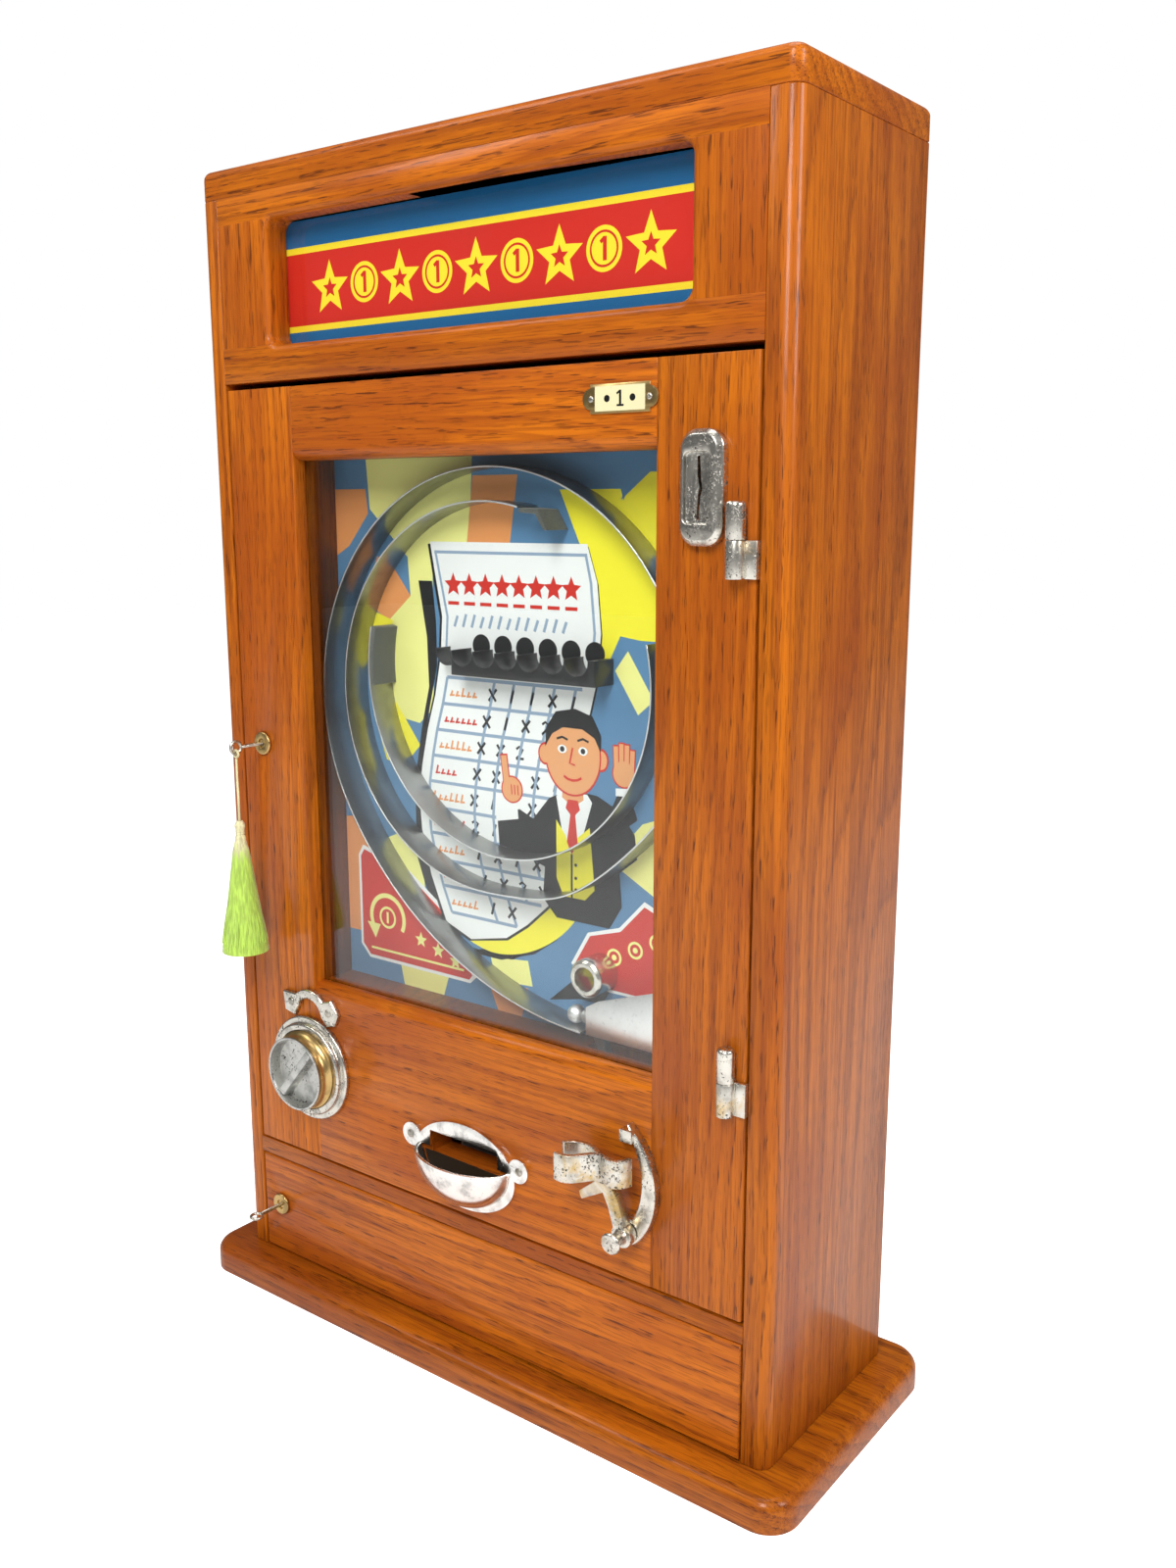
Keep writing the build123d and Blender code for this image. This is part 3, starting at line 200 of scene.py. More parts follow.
def oak_grain():
    """Growth figure, fibres, open pores and blotches of oak whose grain runs along the vector's Z."""
    masks = ("Figure", "Fibre", "Pores", "Blotch")
    tree, ask, leave = new_group("oak_grain", {"Ring Width": 0.009}, masks)
    vector = ask["Vector"]
    parts = put(tree, "ShaderNodeSeparateXYZ", {0: vector}).outputs
    sway = noise(tree, vector, (5.0, 5.0, 1.3), 2.0, 0.45)
    waver = noise(tree, vector, (38.0, 38.0, 3.2), 2.0, 0.5)
    across = plus(tree, parts[0], times(tree, parts[1], 0.6))
    across = plus(tree, across, times(tree, sway, 0.17))
    across = plus(tree, across, times(tree, waver, 0.006))
    rings = calc(tree, "FRACT", calc(tree, "DIVIDE", across, ask["Ring Width"]))
    late = calc(tree, "POWER", rings, 2.6)
    pores = step_up(tree, noise(tree, vector, (1250.0, 1250.0, 70.0), 1.0, 0.4), 0.56, 0.66)
    band = plus(tree, 0.35, times(tree, late, 0.9))
    found = {
        "Figure": times(tree, late, step_up(tree, rings, 1.0, 0.86)),
        "Fibre": noise(tree, vector, (520.0, 520.0, 9.0), 4.0, 0.65),
        "Pores": times(tree, pores, band, True),
        "Blotch": noise(tree, vector, (9.0, 9.0, 3.5), 4.0, 0.6),
    }
    feed(tree, leave, found)
    return tree


def plating_wear():
    """Pits, brass showing through and smudges on old plated metal."""
    values = {"Pitting": 0.5, "Brassing": 0.4}
    tree, ask, leave = new_group("plating_wear", values, ("Pits", "Brass", "Smudge"))
    vector = ask["Vector"]
    clump = noise(tree, vector, 55.0, 3.0, 0.6)
    specks = noise(tree, vector, 620.0, 3.0, 0.65)
    level = plus(tree, specks, times(tree, minus(tree, clump, 0.5), 0.55))
    edge = minus(tree, 0.80, times(tree, ask["Pitting"], 0.24))
    patches = noise(tree, vector, 38.0, 4.0, 0.7, 0.6)
    low = minus(tree, 0.78, times(tree, ask["Brassing"], 0.34))
    found = {
        "Pits": step_up(tree, level, edge, plus(tree, edge, 0.07), "LINEAR"),
        "Brass": step_up(tree, patches, low, plus(tree, low, 0.16), "LINEAR"),
        "Smudge": noise(tree, vector, 90.0, 4.0, 0.6),
    }
    feed(tree, leave, found)
    return tree


def print_age():
    """Slow fading, fine specks and brush lines of an old print under varnish."""
    tree, ask, leave = new_group("print_age", {}, ("Fade", "Speck", "Brush"))
    vector = ask["Vector"]
    found = {
        "Fade": noise(tree, vector, 14.0, 3.0, 0.6),
        "Speck": step_up(tree, noise(tree, vector, 700.0, 2.0, 0.6), 0.66, 0.74),
        "Brush": noise(tree, vector, (60.0, 60.0, 900.0), 3.0, 0.6),
    }
    feed(tree, leave, found)
    return tree


def group_in(tree, maker, inputs):
    """Places a shared group in a material and gives its outputs."""
    shared = bpy.data.node_groups.get(maker.__name__) or maker()
    return put(tree, "ShaderNodeGroup", inputs, node_tree=shared).outputs


def bare_material(name):
    """A new material, its tree and its Principled BSDF."""
    material = bpy.data.materials.new(name)
    material.use_nodes = True
    tree = material.node_tree
    return material, tree, next(n for n in tree.nodes if n.type == "BSDF_PRINCIPLED")


def object_vector(tree, shift=(0.0, 0.0, 0.0), order="XYZ"):
    """Object coordinates moved by a shift, with the axes in the order given."""
    place = put(tree, "ShaderNodeTexCoord").outputs["Object"]
    moved = put(tree, "ShaderNodeVectorMath", {0: place, 1: shift}, operation="ADD").outputs[0]
    if order == "XYZ":
        return moved
    parts = put(tree, "ShaderNodeSeparateXYZ", {0: moved}).outputs
    joined = {index: parts["XYZ".index(axis)] for index, axis in enumerate(order)}
    return put(tree, "ShaderNodeCombineXYZ", joined).outputs[0]


def bumped(tree, height, distance, strength=0.5):
    """A Bump node's normal."""
    inputs = {"Height": height, "Distance": distance, "Strength": strength}
    return put(tree, "ShaderNodeBump", inputs).outputs[0]


def tint(colour, amount=1.0):
    """A colour with its brightness multiplied."""
    return tuple(channel * amount for channel in colour[:3]) + (1.0,)


# Materials
GRAIN_ORDER = {"Z": "XYZ", "X": "ZYX", "Y": "XZY"}


def varnished_oak(name, along="Z", shift=(0.0, 0.0, 0.0), tone=1.0, ring_width=0.009):
    """Old oak under glossy varnish, its grain along one axis."""
    look = bpy.context.scene.machine_wood
    material, tree, shader = bare_material(name)
    vector = object_vector(tree, shift, GRAIN_ORDER[along])
    grain = group_in(tree, oak_grain, {"Vector": vector, "Ring Width": ring_width})
    dark = tint(look.dark_colour, tone)
    streak = noise(tree, vector, (130.0, 130.0, 7.0), 3.0, 0.6)
    grime = noise(tree, vector, 17.0, 5.0, 0.7)
    figure = times(tree, grain["Figure"], 0.6, True)
    colour = blend(tree, figure, tint(look.light_colour, tone), dark)
    for mask, strength, stain in (
        (step_up(tree, streak, 0.46, 0.68), 0.5, tint(dark, 1.1)),
        (step_up(tree, grain["Fibre"], 0.42, 0.72), 0.55, tint(dark, 0.85)),
        (step_up(tree, grain["Blotch"], 0.42, 0.66), 0.75, tint(look.warm_colour, tone * 0.85)),
        (grain["Pores"], 0.75, tint(look.pore_colour, tone)),
        (step_up(tree, grime, 0.62, 0.78), 0.45, tint(look.pore_colour, 1.4)),
    ):
        colour = stained(tree, colour, mask, strength, stain)
    height = minus(tree, times(tree, grain["Fibre"], 0.35), grain["Pores"])
    height = plus(tree, height, times(tree, grain["Blotch"], 1.5))
    inputs = {
        "Base Color": colour,
        "Roughness": plus(tree, 0.34, times(tree, grain["Fibre"], 0.18)),
        "Coat Weight": look.varnish,
        "Coat Roughness": look.varnish_roughness,
        "Coat IOR": 1.4,
        "Specular IOR Level": 0.12,
        "Normal": bumped(tree, height, 0.00012),
    }
    feed(tree, shader, inputs)
    return material


def raw_timber(name, colour):
    """Plain unvarnished softwood or ply."""
    material, tree, shader = bare_material(name)
    vector = object_vector(tree, order=GRAIN_ORDER["X"])
    grain = group_in(tree, oak_grain, {"Vector": vector, "Ring Width": 0.013})
    shade = stained(tree, tint(colour), grain["Figure"], 0.5, tint(colour, 0.6))
    shade = blend(tree, step_up(tree, grain["Fibre"], 0.45, 0.75), shade, tint(colour, 0.75))
    dust = step_up(tree, noise(tree, vector, 11.0, 5.0, 0.65), 0.5, 0.75)
    shade = stained(tree, shade, dust, 0.5, tint(colour, 0.45))
    relief = bumped(tree, grain["Fibre"], 0.0002)
    feed(tree, shader, {"Base Color": shade, "Roughness": 0.75, "Normal": relief})
    return material


def worn_plate(name, colour=None, pitting=0.5, brassing=0.35, gloss=0.2, brass=None):
    """Old bright plating with pits, brass showing and smudges."""
    look = bpy.context.scene.machine_metal
    colour = colour or look.nickel_colour
    brass = brass or look.brass_colour
    material, tree, shader = bare_material(name)
    inputs = {"Vector": object_vector(tree), "Pitting": pitting, "Brassing": brassing}
    wear = group_in(tree, plating_wear, inputs)
    shade = blend(tree, wear["Brass"], tint(colour), tint(brass))
    shade = stained(tree, shade, step_up(tree, wear["Smudge"], 0.45, 0.7), 0.6, tint(colour, 0.34))
    rough = gloss
    for mask, strength in (("Smudge", 0.16), ("Brass", 0.12), ("Pits", 0.4)):
        rough = plus(tree, rough, times(tree, wear[mask], strength), mask == "Pits")
    height = minus(tree, times(tree, wear["Smudge"], 0.6), wear["Pits"])
    inputs = {
        "Base Color": blend(tree, wear["Pits"], shade, (0.035, 0.028, 0.02, 1.0)),
        "Metallic": minus(tree, 1.0, times(tree, wear["Pits"], 0.65)),
        "Roughness": rough,
        "Normal": bumped(tree, height, 0.00015, 0.6),
    }
    feed(tree, shader, inputs)
    return material


def strip_steel(name):
    """Bright drawn steel strip with fine lines along it."""
    steel = bpy.context.scene.machine_metal.steel_colour
    material, tree, shader = bare_material(name)
    vector = object_vector(tree)
    lines = noise(tree, vector, (30.0, 1800.0, 30.0), 3.0, 0.6)
    cloud = step_up(tree, noise(tree, vector, 30.0, 4.0, 0.6), 0.4, 0.75)
    inputs = {
        "Base Color": blend(tree, cloud, tint(steel), tint(steel, 0.62)),
        "Metallic": 1.0,
        "Roughness": plus(tree, 0.2, times(tree, lines, 0.25)),
        "Normal": bumped(tree, lines, 0.00006),
    }
    feed(tree, shader, inputs)
    return material


def plain_metal(name, colour, rough=0.35, metallic=1.0, stain=0.5):
    """Dull metal with stains, such as tinplate or cast iron."""
    material, tree, shader = bare_material(name)
    vector = object_vector(tree)
    cloud = step_up(tree, noise(tree, vector, 26.0, 5.0, 0.65), 0.4, 0.75)
    grit = noise(tree, vector, 480.0, 3.0, 0.6)
    shade = stained(tree, tint(colour), cloud, stain, tint(colour, 0.45))
    inputs = {
        "Base Color": stained(tree, shade, step_up(tree, grit, 0.58, 0.72), 0.35, tint(colour, 0.3)),
        "Metallic": metallic,
        "Roughness": plus(tree, rough, times(tree, grit, 0.2)),
        "Normal": bumped(tree, grit, 0.00008),
    }
    feed(tree, shader, inputs)
    return material


def printed_ink(name, colour):
    """Screen printed ink on a varnished board."""
    material, tree, shader = bare_material(name)
    age = group_in(tree, print_age, {"Vector": object_vector(tree)})
    faded = tuple(0.92 * c + 0.012 for c in colour[:3]) + (1.0,)
    shade = stained(tree, tint(colour), step_up(tree, age["Fade"], 0.42, 0.8), 0.5, faded)
    inputs = {
        "Base Color": stained(tree, shade, age["Speck"], 0.35, tint(colour, 0.55)),
        "Roughness": plus(tree, 0.3, times(tree, age["Brush"], 0.2)),
        "Specular IOR Level": 0.25,
        "Coat Weight": 0.12,
        "Coat Roughness": 0.2,
        "Normal": bumped(tree, age["Brush"], 0.00004, 0.4),
    }
    feed(tree, shader, inputs)
    return material


def pane_glass(name):
    """Thin window glass that lets lamps through to what it covers."""
    material, tree, shader = bare_material(name)
    dust = noise(tree, object_vector(tree), 45.0, 5.0, 0.65)
    inputs = {
        "Base Color": tint(bpy.context.scene.machine_metal.glass_colour),
        "Transmission Weight": 1.0,
        "IOR": 1.45,
        "Specular IOR Level": 0.1,
        "Roughness": times(tree, step_up(tree, dust, 0.6, 0.95), 0.03),
    }
    feed(tree, shader, inputs)
    clear = put(tree, "ShaderNodeBsdfTransparent", {"Color": (0.96, 0.98, 0.97, 1.0)})
    path = put(tree, "ShaderNodeLightPath").outputs
    share = calc(tree, "MAXIMUM", path["Is Shadow Ray"], path["Is Diffuse Ray"])
    mixed = put(tree, "ShaderNodeMixShader", {0: share, 1: shader.outputs[0], 2: clear.outputs[0]})
    surface = next(n for n in tree.nodes if n.type == "OUTPUT_MATERIAL")
    feed(tree, surface, {"Surface": mixed.outputs[0]})
    return material


def pressed_felt(name, colour):
    """Dense felt or leathercloth."""
    material, tree, shader = bare_material(name)
    fuzz = noise(tree, object_vector(tree), 900.0, 3.0, 0.7)
    inputs = {
        "Base Color": blend(tree, step_up(tree, fuzz, 0.4, 0.7), tint(colour), tint(colour, 0.5)),
        "Roughness": 0.9,
        "Sheen Weight": 0.3,
        "Normal": bumped(tree, fuzz, 0.0003, 0.8),
    }
    feed(tree, shader, inputs)
    return material


def yarn(name, colour, low_colour=None, span=None):
    """Twisted yarn, from one colour at the top of a span of heights to another at its foot."""
    material, tree, shader = bare_material(name)
    place = put(tree, "ShaderNodeTexCoord").outputs["Object"]
    strand = noise(tree, place, (700.0, 700.0, 40.0), 2.0, 0.5)
    shade = blend(tree, step_up(tree, strand, 0.35, 0.7), tint(colour), tint(colour, 0.62))
    if low_colour:
        height = put(tree, "ShaderNodeSeparateXYZ", {0: place}).outputs[2]
        edge = plus(tree, height, times(tree, minus(tree, strand, 0.5), 0.03))
        lower = blend(tree, step_up(tree, strand, 0.3, 0.7), tint(low_colour), tint(low_colour, 0.6))
        shade = blend(tree, step_up(tree, edge, *span), shade, lower)
    inputs = {
        "Base Color": shade,
        "Roughness": 0.6,
        "Sheen Weight": 0.5,
        "Sheen Roughness": 0.4,
        "Normal": bumped(tree, strand, 0.0004, 0.7),
    }
    feed(tree, shader, inputs)
    return material


def material_named(name, maker, *values):
    """A material made once and shared."""
    return bpy.data.materials.get(name) or maker(name, *values)


def oak(name, *values):
    """A varnished oak named after its piece."""
    return material_named("oak_" + name, varnished_oak, *values)


# Mesh helpers
def placed(name, data):
    """Puts a mesh or curve in the scene."""
    made = bpy.data.objects.new(name, data)
    bpy.context.scene.collection.objects.link(made)
    return made


def new_piece(name, mesh, body, replaces=(), sharp=35.0):
    """Puts a finished mesh in the scene on its body."""
    piece = placed(name, mesh)
    mesh.shade_smooth()
    mesh.set_sharp_from_angle(angle=math.radians(sharp))
    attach(piece, body)
    if replaces:
        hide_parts(*replaces)
    return piece


def mesh_from(name, form, *materials):
    """A mesh from a bmesh, with its materials."""
    mesh = bpy.data.meshes.new(name)
    form.to_mesh(mesh)
    form.free()
    for material in materials:
        mesh.materials.append(material)
    return mesh


def lofted(name, rings, *materials):
    """A closed mesh through rings of points, capped at both ends."""
    form = bmesh.new()
    loops = [[form.verts.new(point) for point in ring] for ring in rings]
    for low, high in zip(loops, loops[1:]):
        for k in range(len(low)):
            after = (k + 1) % len(low)
            form.faces.new((low[k], low[after], high[after], high[k]))
    form.faces.new(loops[0][::-1])
    form.faces.new(loops[-1])
    bmesh.ops.recalc_face_normals(form, faces=form.faces)
    return mesh_from(name, form, *materials)


def turns(steps):
    """The cosine and sine of each step round a circle."""
    angles = [2 * math.pi * k / steps for k in range(steps)]
    return [(math.cos(angle), math.sin(angle)) for angle in angles]


def joined_form(node):
    """A bmesh of a CAD node with its loose triangles joined."""
    form = bmesh.new()
    form.from_mesh(frame["nodes"][node].data)
    bmesh.ops.remove_doubles(form, verts=form.verts, dist=1e-6)
    return form


def merged_copy(node):
    """A joined copy of a CAD node with its flat areas made whole."""
    form = joined_form(node)
    bmesh.ops.dissolve_limit(form, angle_limit=math.radians(0.2), verts=form.verts, edges=form.edges)
    return form


def body_of(node):
    """The body a CAD node belongs to."""
    bodies = frame["record"]["behaviour"]["bodies"]
    return next(body for body, members in bodies.items() if node in members)


def with_modifier(name, data, kind, **settings):
    """A mesh after one modifier, whose settings are properties or input identifiers."""
    holder = placed(name + "_raw", data)
    modifier = holder.modifiers.new(kind.lower(), kind)
    for label, value in settings.items():
        if hasattr(modifier, label):
            setattr(modifier, label, value)
        else:
            modifier[label] = value
    graph = bpy.context.evaluated_depsgraph_get()
    made = bpy.data.meshes.new_from_object(holder.evaluated_get(graph))
    made.name = name
    bpy.data.objects.remove(holder)
    return made


def eased(name, mesh, ease):
    """A mesh with its sharp edges rounded by a number of millimetres."""
    limits = {"limit_method": "ANGLE", "angle_limit": math.radians(40)}
    return with_modifier(name, mesh, "BEVEL", width=ease * MM, segments=2, **limits)


def dressed(node, material, ease=0.0, name=None, form=None, sharp=35.0):
    """A copy of a CAD node with joined faces, eased edges and a material, standing for it."""
    name = name or node + "_dressed"
    mesh = mesh_from(name, form or merged_copy(node), material)
    if ease:
        mesh = eased(name, mesh, ease)
    return new_piece(name, mesh, body_of(node), (node,), sharp)


def coat(node, material):
    """Gives a carried-over CAD node its material."""
    materials = frame["nodes"][node].data.materials
    materials.clear()
    materials.append(material)


def loose_boxes(node):
    """The lowest and highest corners of each separate solid in a CAD node."""
    form = joined_form(node)
    seen, found = set(), []
    for start in form.verts:
        if start in seen:
            continue
        island, stack = [], [start]
        seen.add(start)
        while stack:
            vert = stack.pop()
            island.append(vert.co)
            near = {edge.other_vert(vert) for edge in vert.link_edges} - seen
            seen |= near
            stack.extend(near)
        corners = [Vector([pick(c[i] for c in island) for i in range(3)]) for pick in (min, max)]
        found.append(corners)
    form.free()
    return sorted(found, key=lambda pair: (pair[0].z, pair[0].x))


# Printed shapes
def smooth_outline(points, steps=5):
    """A closed outline through given points, rounded between them."""
    made = []
    count = len(points)
    for index in range(count):
        p0, p1, p2, p3 = (Vector(points[(index + k - 1) % count]) for k in range(4))
        for step in range(steps):
            t = step / steps
            square = (2 * p0 - 5 * p1 + 4 * p2 - p3) * t * t
            cube = (3 * p1 - p0 - 3 * p2 + p3) * t * t * t
            made.append(tuple(0.5 * (2 * p1 + (p2 - p0) * t + square + cube)))
    return made


def line_outline(points, width):
    """The outline of a stroke of a given width along open points."""
    left, right = [], []
    last = len(points) - 1
    for index, point in enumerate(points):
        before, after = Vector(points[max(index - 1, 0)]), Vector(points[min(index + 1, last)])
        along = (after - before).normalized()
        side = Vector((-along.y, along.x)) * width / 2
        left.append(tuple(Vector(point) + side))
        right.append(tuple(Vector(point) - side))
    return left + right[::-1]


def disc_outline(centre, radius, steps=24, squash=1.0):
    """A circle's or ellipse's outline."""
    return [(centre[0] + radius * c, centre[1] + radius * squash * s) for c, s in turns(steps)]


def star_outline(centre, radius, inner=0.45, points=5):
    """A star's outline with one point up."""
    made = []
    for k in range(2 * points):
        reach = radius if k % 2 == 0 else radius * inner
        angle = math.pi / 2 + k * math.pi / points
        made.append((centre[0] + reach * math.cos(angle), centre[1] + reach * math.sin(angle)))
    return made


def box_outline(left, foot, right, head):
    """A rectangle's outline."""
    return [(left, foot), (right, foot), (right, head), (left, head)]


class Print:
    """Flat printed shapes on a panel, each a thin closed prism in its ink."""

    def __init__(self, face_y, inks):
        self.form = bmesh.new()
        self.face_y = face_y
        self.inks = list(inks)
        self.laid = 0

    def shape(self, ink, level, outline):
        """Adds one shape at a level over the panel."""
        area = sum(a[0] * b[1] - b[0] * a[1] for a, b in zip(outline, outline[1:] + outline[:1]))
        if area < 0:
            outline = outline[::-1]
        self.laid += 1
        front = self.face_y - (level + self.laid % 16 / 20) * INK_STEP
        rows = []
        for y in (front, self.face_y + INK_ROOT):
            points = [(x * MM, y, PLINTH_TOP + height * MM) for x, height in outline]
            rows.append([self.form.verts.new(point) for point in points])
        faces = [self.form.faces.new(rows[0]), self.form.faces.new(rows[1][::-1])]
        count = len(outline)
        for k in range(count):
            after = (k + 1) % count
            faces.append(self.form.faces.new((rows[0][after], rows[0][k], rows[1][k], rows[1][after])))
        for face in faces:
            face.material_index = self.inks.index(ink)

    def shapes(self, *rows):
        """Adds shapes, each given as its ink, level and outline."""
        for row in rows:
            self.shape(*row)

    def stroke(self, ink, level, points, width):
        """Adds a stroke."""
        self.shape(ink, level, line_outline(points, width))

    def strokes(self, *rows):
        """Adds strokes, each given as its ink, level, points and width."""
        for row in rows:
            self.stroke(*row)

    def disc(self, ink, level, centre, radius, steps=24, squash=1.0):
        """Adds a disc."""
        self.shape(ink, level, disc_outline(centre, radius, steps, squash))

    def star(self, ink, level, centre, radius, inner=0.45):
        """Adds a star."""
        self.shape(ink, level, star_outline(centre, radius, inner))

    def piece(self, name, node):
        """Finishes the print as one piece on a CAD node's body."""
        self.form.normal_update()
        bmesh.ops.triangulate(self.form, faces=[f for f in self.form.faces if len(f.verts) > 4])
        bmesh.ops.recalc_face_normals(self.form, faces=self.form.faces)
        mesh = mesh_from(name, self.form, *(ink_material(ink) for ink in self.inks))
        return new_piece(name, mesh, body_of(node), sharp=20)


PLAIN_INKS = {
    "ivory": (0.78, 0.71, 0.42),
    # The next ink is near-black and is laid only as the painted shadow behind the payout cup.
    "grime": (0.035, 0.022, 0.012),
    "black": (0.006, 0.006, 0.007),
    "grey": (0.30, 0.40, 0.54),
    "skin": (0.83, 0.38, 0.16),
}


def ink_material(ink):
    """An ink's material, from the settings or the plain inks."""
    colour = PLAIN_INKS.get(ink) or getattr(bpy.context.scene.machine_print, ink)
    return material_named("ink_" + ink, printed_ink, colour)


# Geometry Nodes helpers
GEOMETRY = {"Geometry": ("Geometry", None)}


def geometry_tree(name, inputs):
    """A geometry node tree with named inputs and one geometry output."""
    tree, entry, leave = new_tree(name, "GeometryNodeTree", inputs, GEOMETRY)
    tree.is_modifier = True
    return tree, entry.outputs, leave


def grown(name, tree, values, base=None):
    """Runs a geometry node tree on a holder and returns the plain mesh."""
    sockets = {s.name: s.identifier for s in tree.interface.items_tree if s.in_out == "INPUT"}
    inputs = {sockets[label]: value for label, value in values.items()}
    base = base or bpy.data.meshes.new(name + "_base")
    return with_modifier(name, base, "NODES", node_group=tree, **inputs)


def set_down(tree, leave, points, inputs, material):
    """Puts an instance on each point, makes them real and gives them a material."""
    inputs = {"Points": points, **inputs}
    hung = put(tree, "GeometryNodeInstanceOnPoints", inputs).outputs[0]
    real = put(tree, "GeometryNodeRealizeInstances", {0: hung}).outputs[0]
    inked = put(tree, "GeometryNodeSetMaterial", {"Geometry": real, "Material": material})
    feed(tree, leave, {0: inked.outputs[0]})
    return tree


def vector_of(tree, x=0.0, y=0.0, z=0.0):
    """A vector from three values."""
    return put(tree, "ShaderNodeCombineXYZ", {0: x, 1: y, 2: z}).outputs[0]


def tassel_skirt_tree():
    """Strands laid down a cone, each wavering and ending at its own length."""
    inputs = {
        "Strands": ("Int", 220),
        "Length": ("Float", 0.08),
        "Slope": ("Float", 0.17),
        "Neck Radius": ("Float", 0.003),
        "Strand Radius": ("Float", 0.0005),
        "Seed": ("Int", 4),
        "Top": ("Vector", None),
        "Material": ("Material", None),
    }
    tree, ask, leave = geometry_tree("tassel_skirt", inputs)

    def chance(low, high, extra):
        seed = plus(tree, ask["Seed"], extra)
        limits = {2: low, 3: high, "Seed": seed}
        return put(tree, "FunctionNodeRandomValue", limits, data_type="FLOAT").outputs[1]

    spin = chance(0.0, 2 * math.pi, 0.0)
    ring = [times(tree, ask["Neck Radius"], calc(tree, way, spin)) for way in ("COSINE", "SINE")]
    points = put(tree, "GeometryNodePoints", {"Count": ask["Strands"]}).outputs[0]
    inputs = {"Geometry": points, "Position": ask["Top"], "Offset": vector_of(tree, *ring)}
    roots = put(tree, "GeometryNodeSetPosition", inputs).outputs[0]
    down = times(tree, ask["Length"], -1.0)
    foot = vector_of(tree, times(tree, ask["Length"], ask["Slope"]), 0.0, down)
    line = put(tree, "GeometryNodeCurvePrimitiveLine", {"End": foot}).outputs[0]
    fine = put(tree, "GeometryNodeResampleCurve", {"Curve": line, "Count": 10}).outputs[0]
    where = put(tree, "GeometryNodeInputPosition").outputs[0]
    depth = put(tree, "ShaderNodeSeparateXYZ", {0: where}).outputs[2]
    share = calc(tree, "DIVIDE", depth, down)
    wave = calc(tree, "SINE", times(tree, share, 9.0))
    inputs = {"Geometry": fine, "Offset": vector_of(tree, 0.0, times(tree, wave, 0.0011))}
    waved = put(tree, "GeometryNodeSetPosition", inputs).outputs[0]
    inputs = {"Resolution": 5, "Radius": ask["Strand Radius"]}
    profile = put(tree, "GeometryNodeCurvePrimitiveCircle", inputs).outputs[0]
    inputs = {"Curve": waved, "Profile Curve": profile, "Fill Caps": True}
    strand = put(tree, "GeometryNodeCurveToMesh", inputs).outputs[0]
    size = vector_of(tree, chance(0.93, 1.0, 23.0), 1.0, chance(0.90, 1.0, 31.0))
    inputs = {"Instance": strand, "Rotation": vector_of(tree, 0.0, 0.0, spin), "Scale": size}
    return set_down(tree, leave, roots, inputs, ask["Material"])


def repeat_tree():
    """A piece repeated on every point of the holder's mesh, each turned a step further."""
    kinds = {"Piece": "Object", "Turn Step": "Float", "Material": "Material"}
    inputs = {**GEOMETRY, **{label: (kind, None) for label, kind in kinds.items()}}
    tree, ask, leave = geometry_tree("repeat_on_points", inputs)
    pattern = put(tree, "GeometryNodeObjectInfo", {"Object": ask["Piece"]}).outputs["Geometry"]
    index = put(tree, "GeometryNodeInputIndex").outputs[0]
    turn = vector_of(tree, 0.0, times(tree, index, ask["Turn Step"]))
    inputs = {"Instance": pattern, "Rotation": turn}
    return set_down(tree, leave, ask["Geometry"], inputs, ask["Material"])


def repeated(name, points, pattern, material, node, turn_step=0.0, replaces=()):
    """Repeats a pattern mesh at points and finishes it as one piece."""
    holder = placed(name + "_pattern", pattern)
    base = bpy.data.meshes.new(name + "_points")
    base.from_pydata([tuple(p) for p in points], [], [])
    tree = bpy.data.node_groups.get("repeat_on_points") or repeat_tree()
    values = {"Piece": holder, "Turn Step": turn_step, "Material": material}
    mesh = grown(name, tree, values, base)
    bpy.data.objects.remove(holder)
    return new_piece(name, mesh, body_of(node), replaces)


def slotted_head(radius, depth):
    """A domed screw head with a slot, facing -Y, its seat at the origin."""
    levels = 5
    rings = []
    for level in range(levels):
        angle = level / levels * math.pi / 2
        reach = radius * math.cos(angle)
        rings.append([(reach * c, -depth * math.sin(angle), reach * s) for c, s in turns(24)])
    cutter = bmesh.new()
    bmesh.ops.create_cube(cutter, size=1.0)
    bmesh.ops.scale(cutter, vec=(3 * radius, depth * 0.9, radius * 0.26), verts=cutter.verts)
    bmesh.ops.translate(cutter, vec=(0, -depth * 0.95, 0), verts=cutter.verts)
    blade = placed("slot_blade", mesh_from("slot_blade", cutter))
    head = lofted("slotted_head", rings)
    cut = {"object": blade, "operation": "DIFFERENCE", "solver": "EXACT"}
    made = with_modifier("slotted_head_cut", head, "BOOLEAN", **cut)
    bpy.data.objects.remove(blade)
    return made


# Settings a user would change
def hue(name, description, default):
    """A colour setting."""
    kind = {"subtype": "COLOR", "size": 3, "min": 0.0, "max": 1.0}
    return FloatVectorProperty(name=name, description=description, default=default, **kind)


def number(name, description, default, low=0.0, high=1.0, **kind):
    """A number setting."""
    return FloatProperty(name=name, description=description, default=default, min=low, max=high, **kind)


class MachineWood(bpy.types.PropertyGroup):
    """Oak and its varnish."""

    light_colour: hue("Light Oak", "Colour of the early wood", (0.60, 0.155, 0.005))
    dark_colour: hue("Dark Oak", "Colour of the late wood", (0.20, 0.036, 0.004))
    warm_colour: hue("Warm Stain", "Colour of the warmer patches", (0.40, 0.078, 0.006))
    pore_colour: hue("Pores", "Colour in the open pores", (0.060, 0.012, 0.002))
    varnish: number("Varnish", "Strength of the varnish coat", 0.3)
    varnish_roughness: number("Varnish Roughness", "How much the varnish blurs lamps", 0.16)
    edge_ease: number("Edge Rounding", "Rounding of the boards' edges, in millimetres", 0.9, 0.1, 3.0)


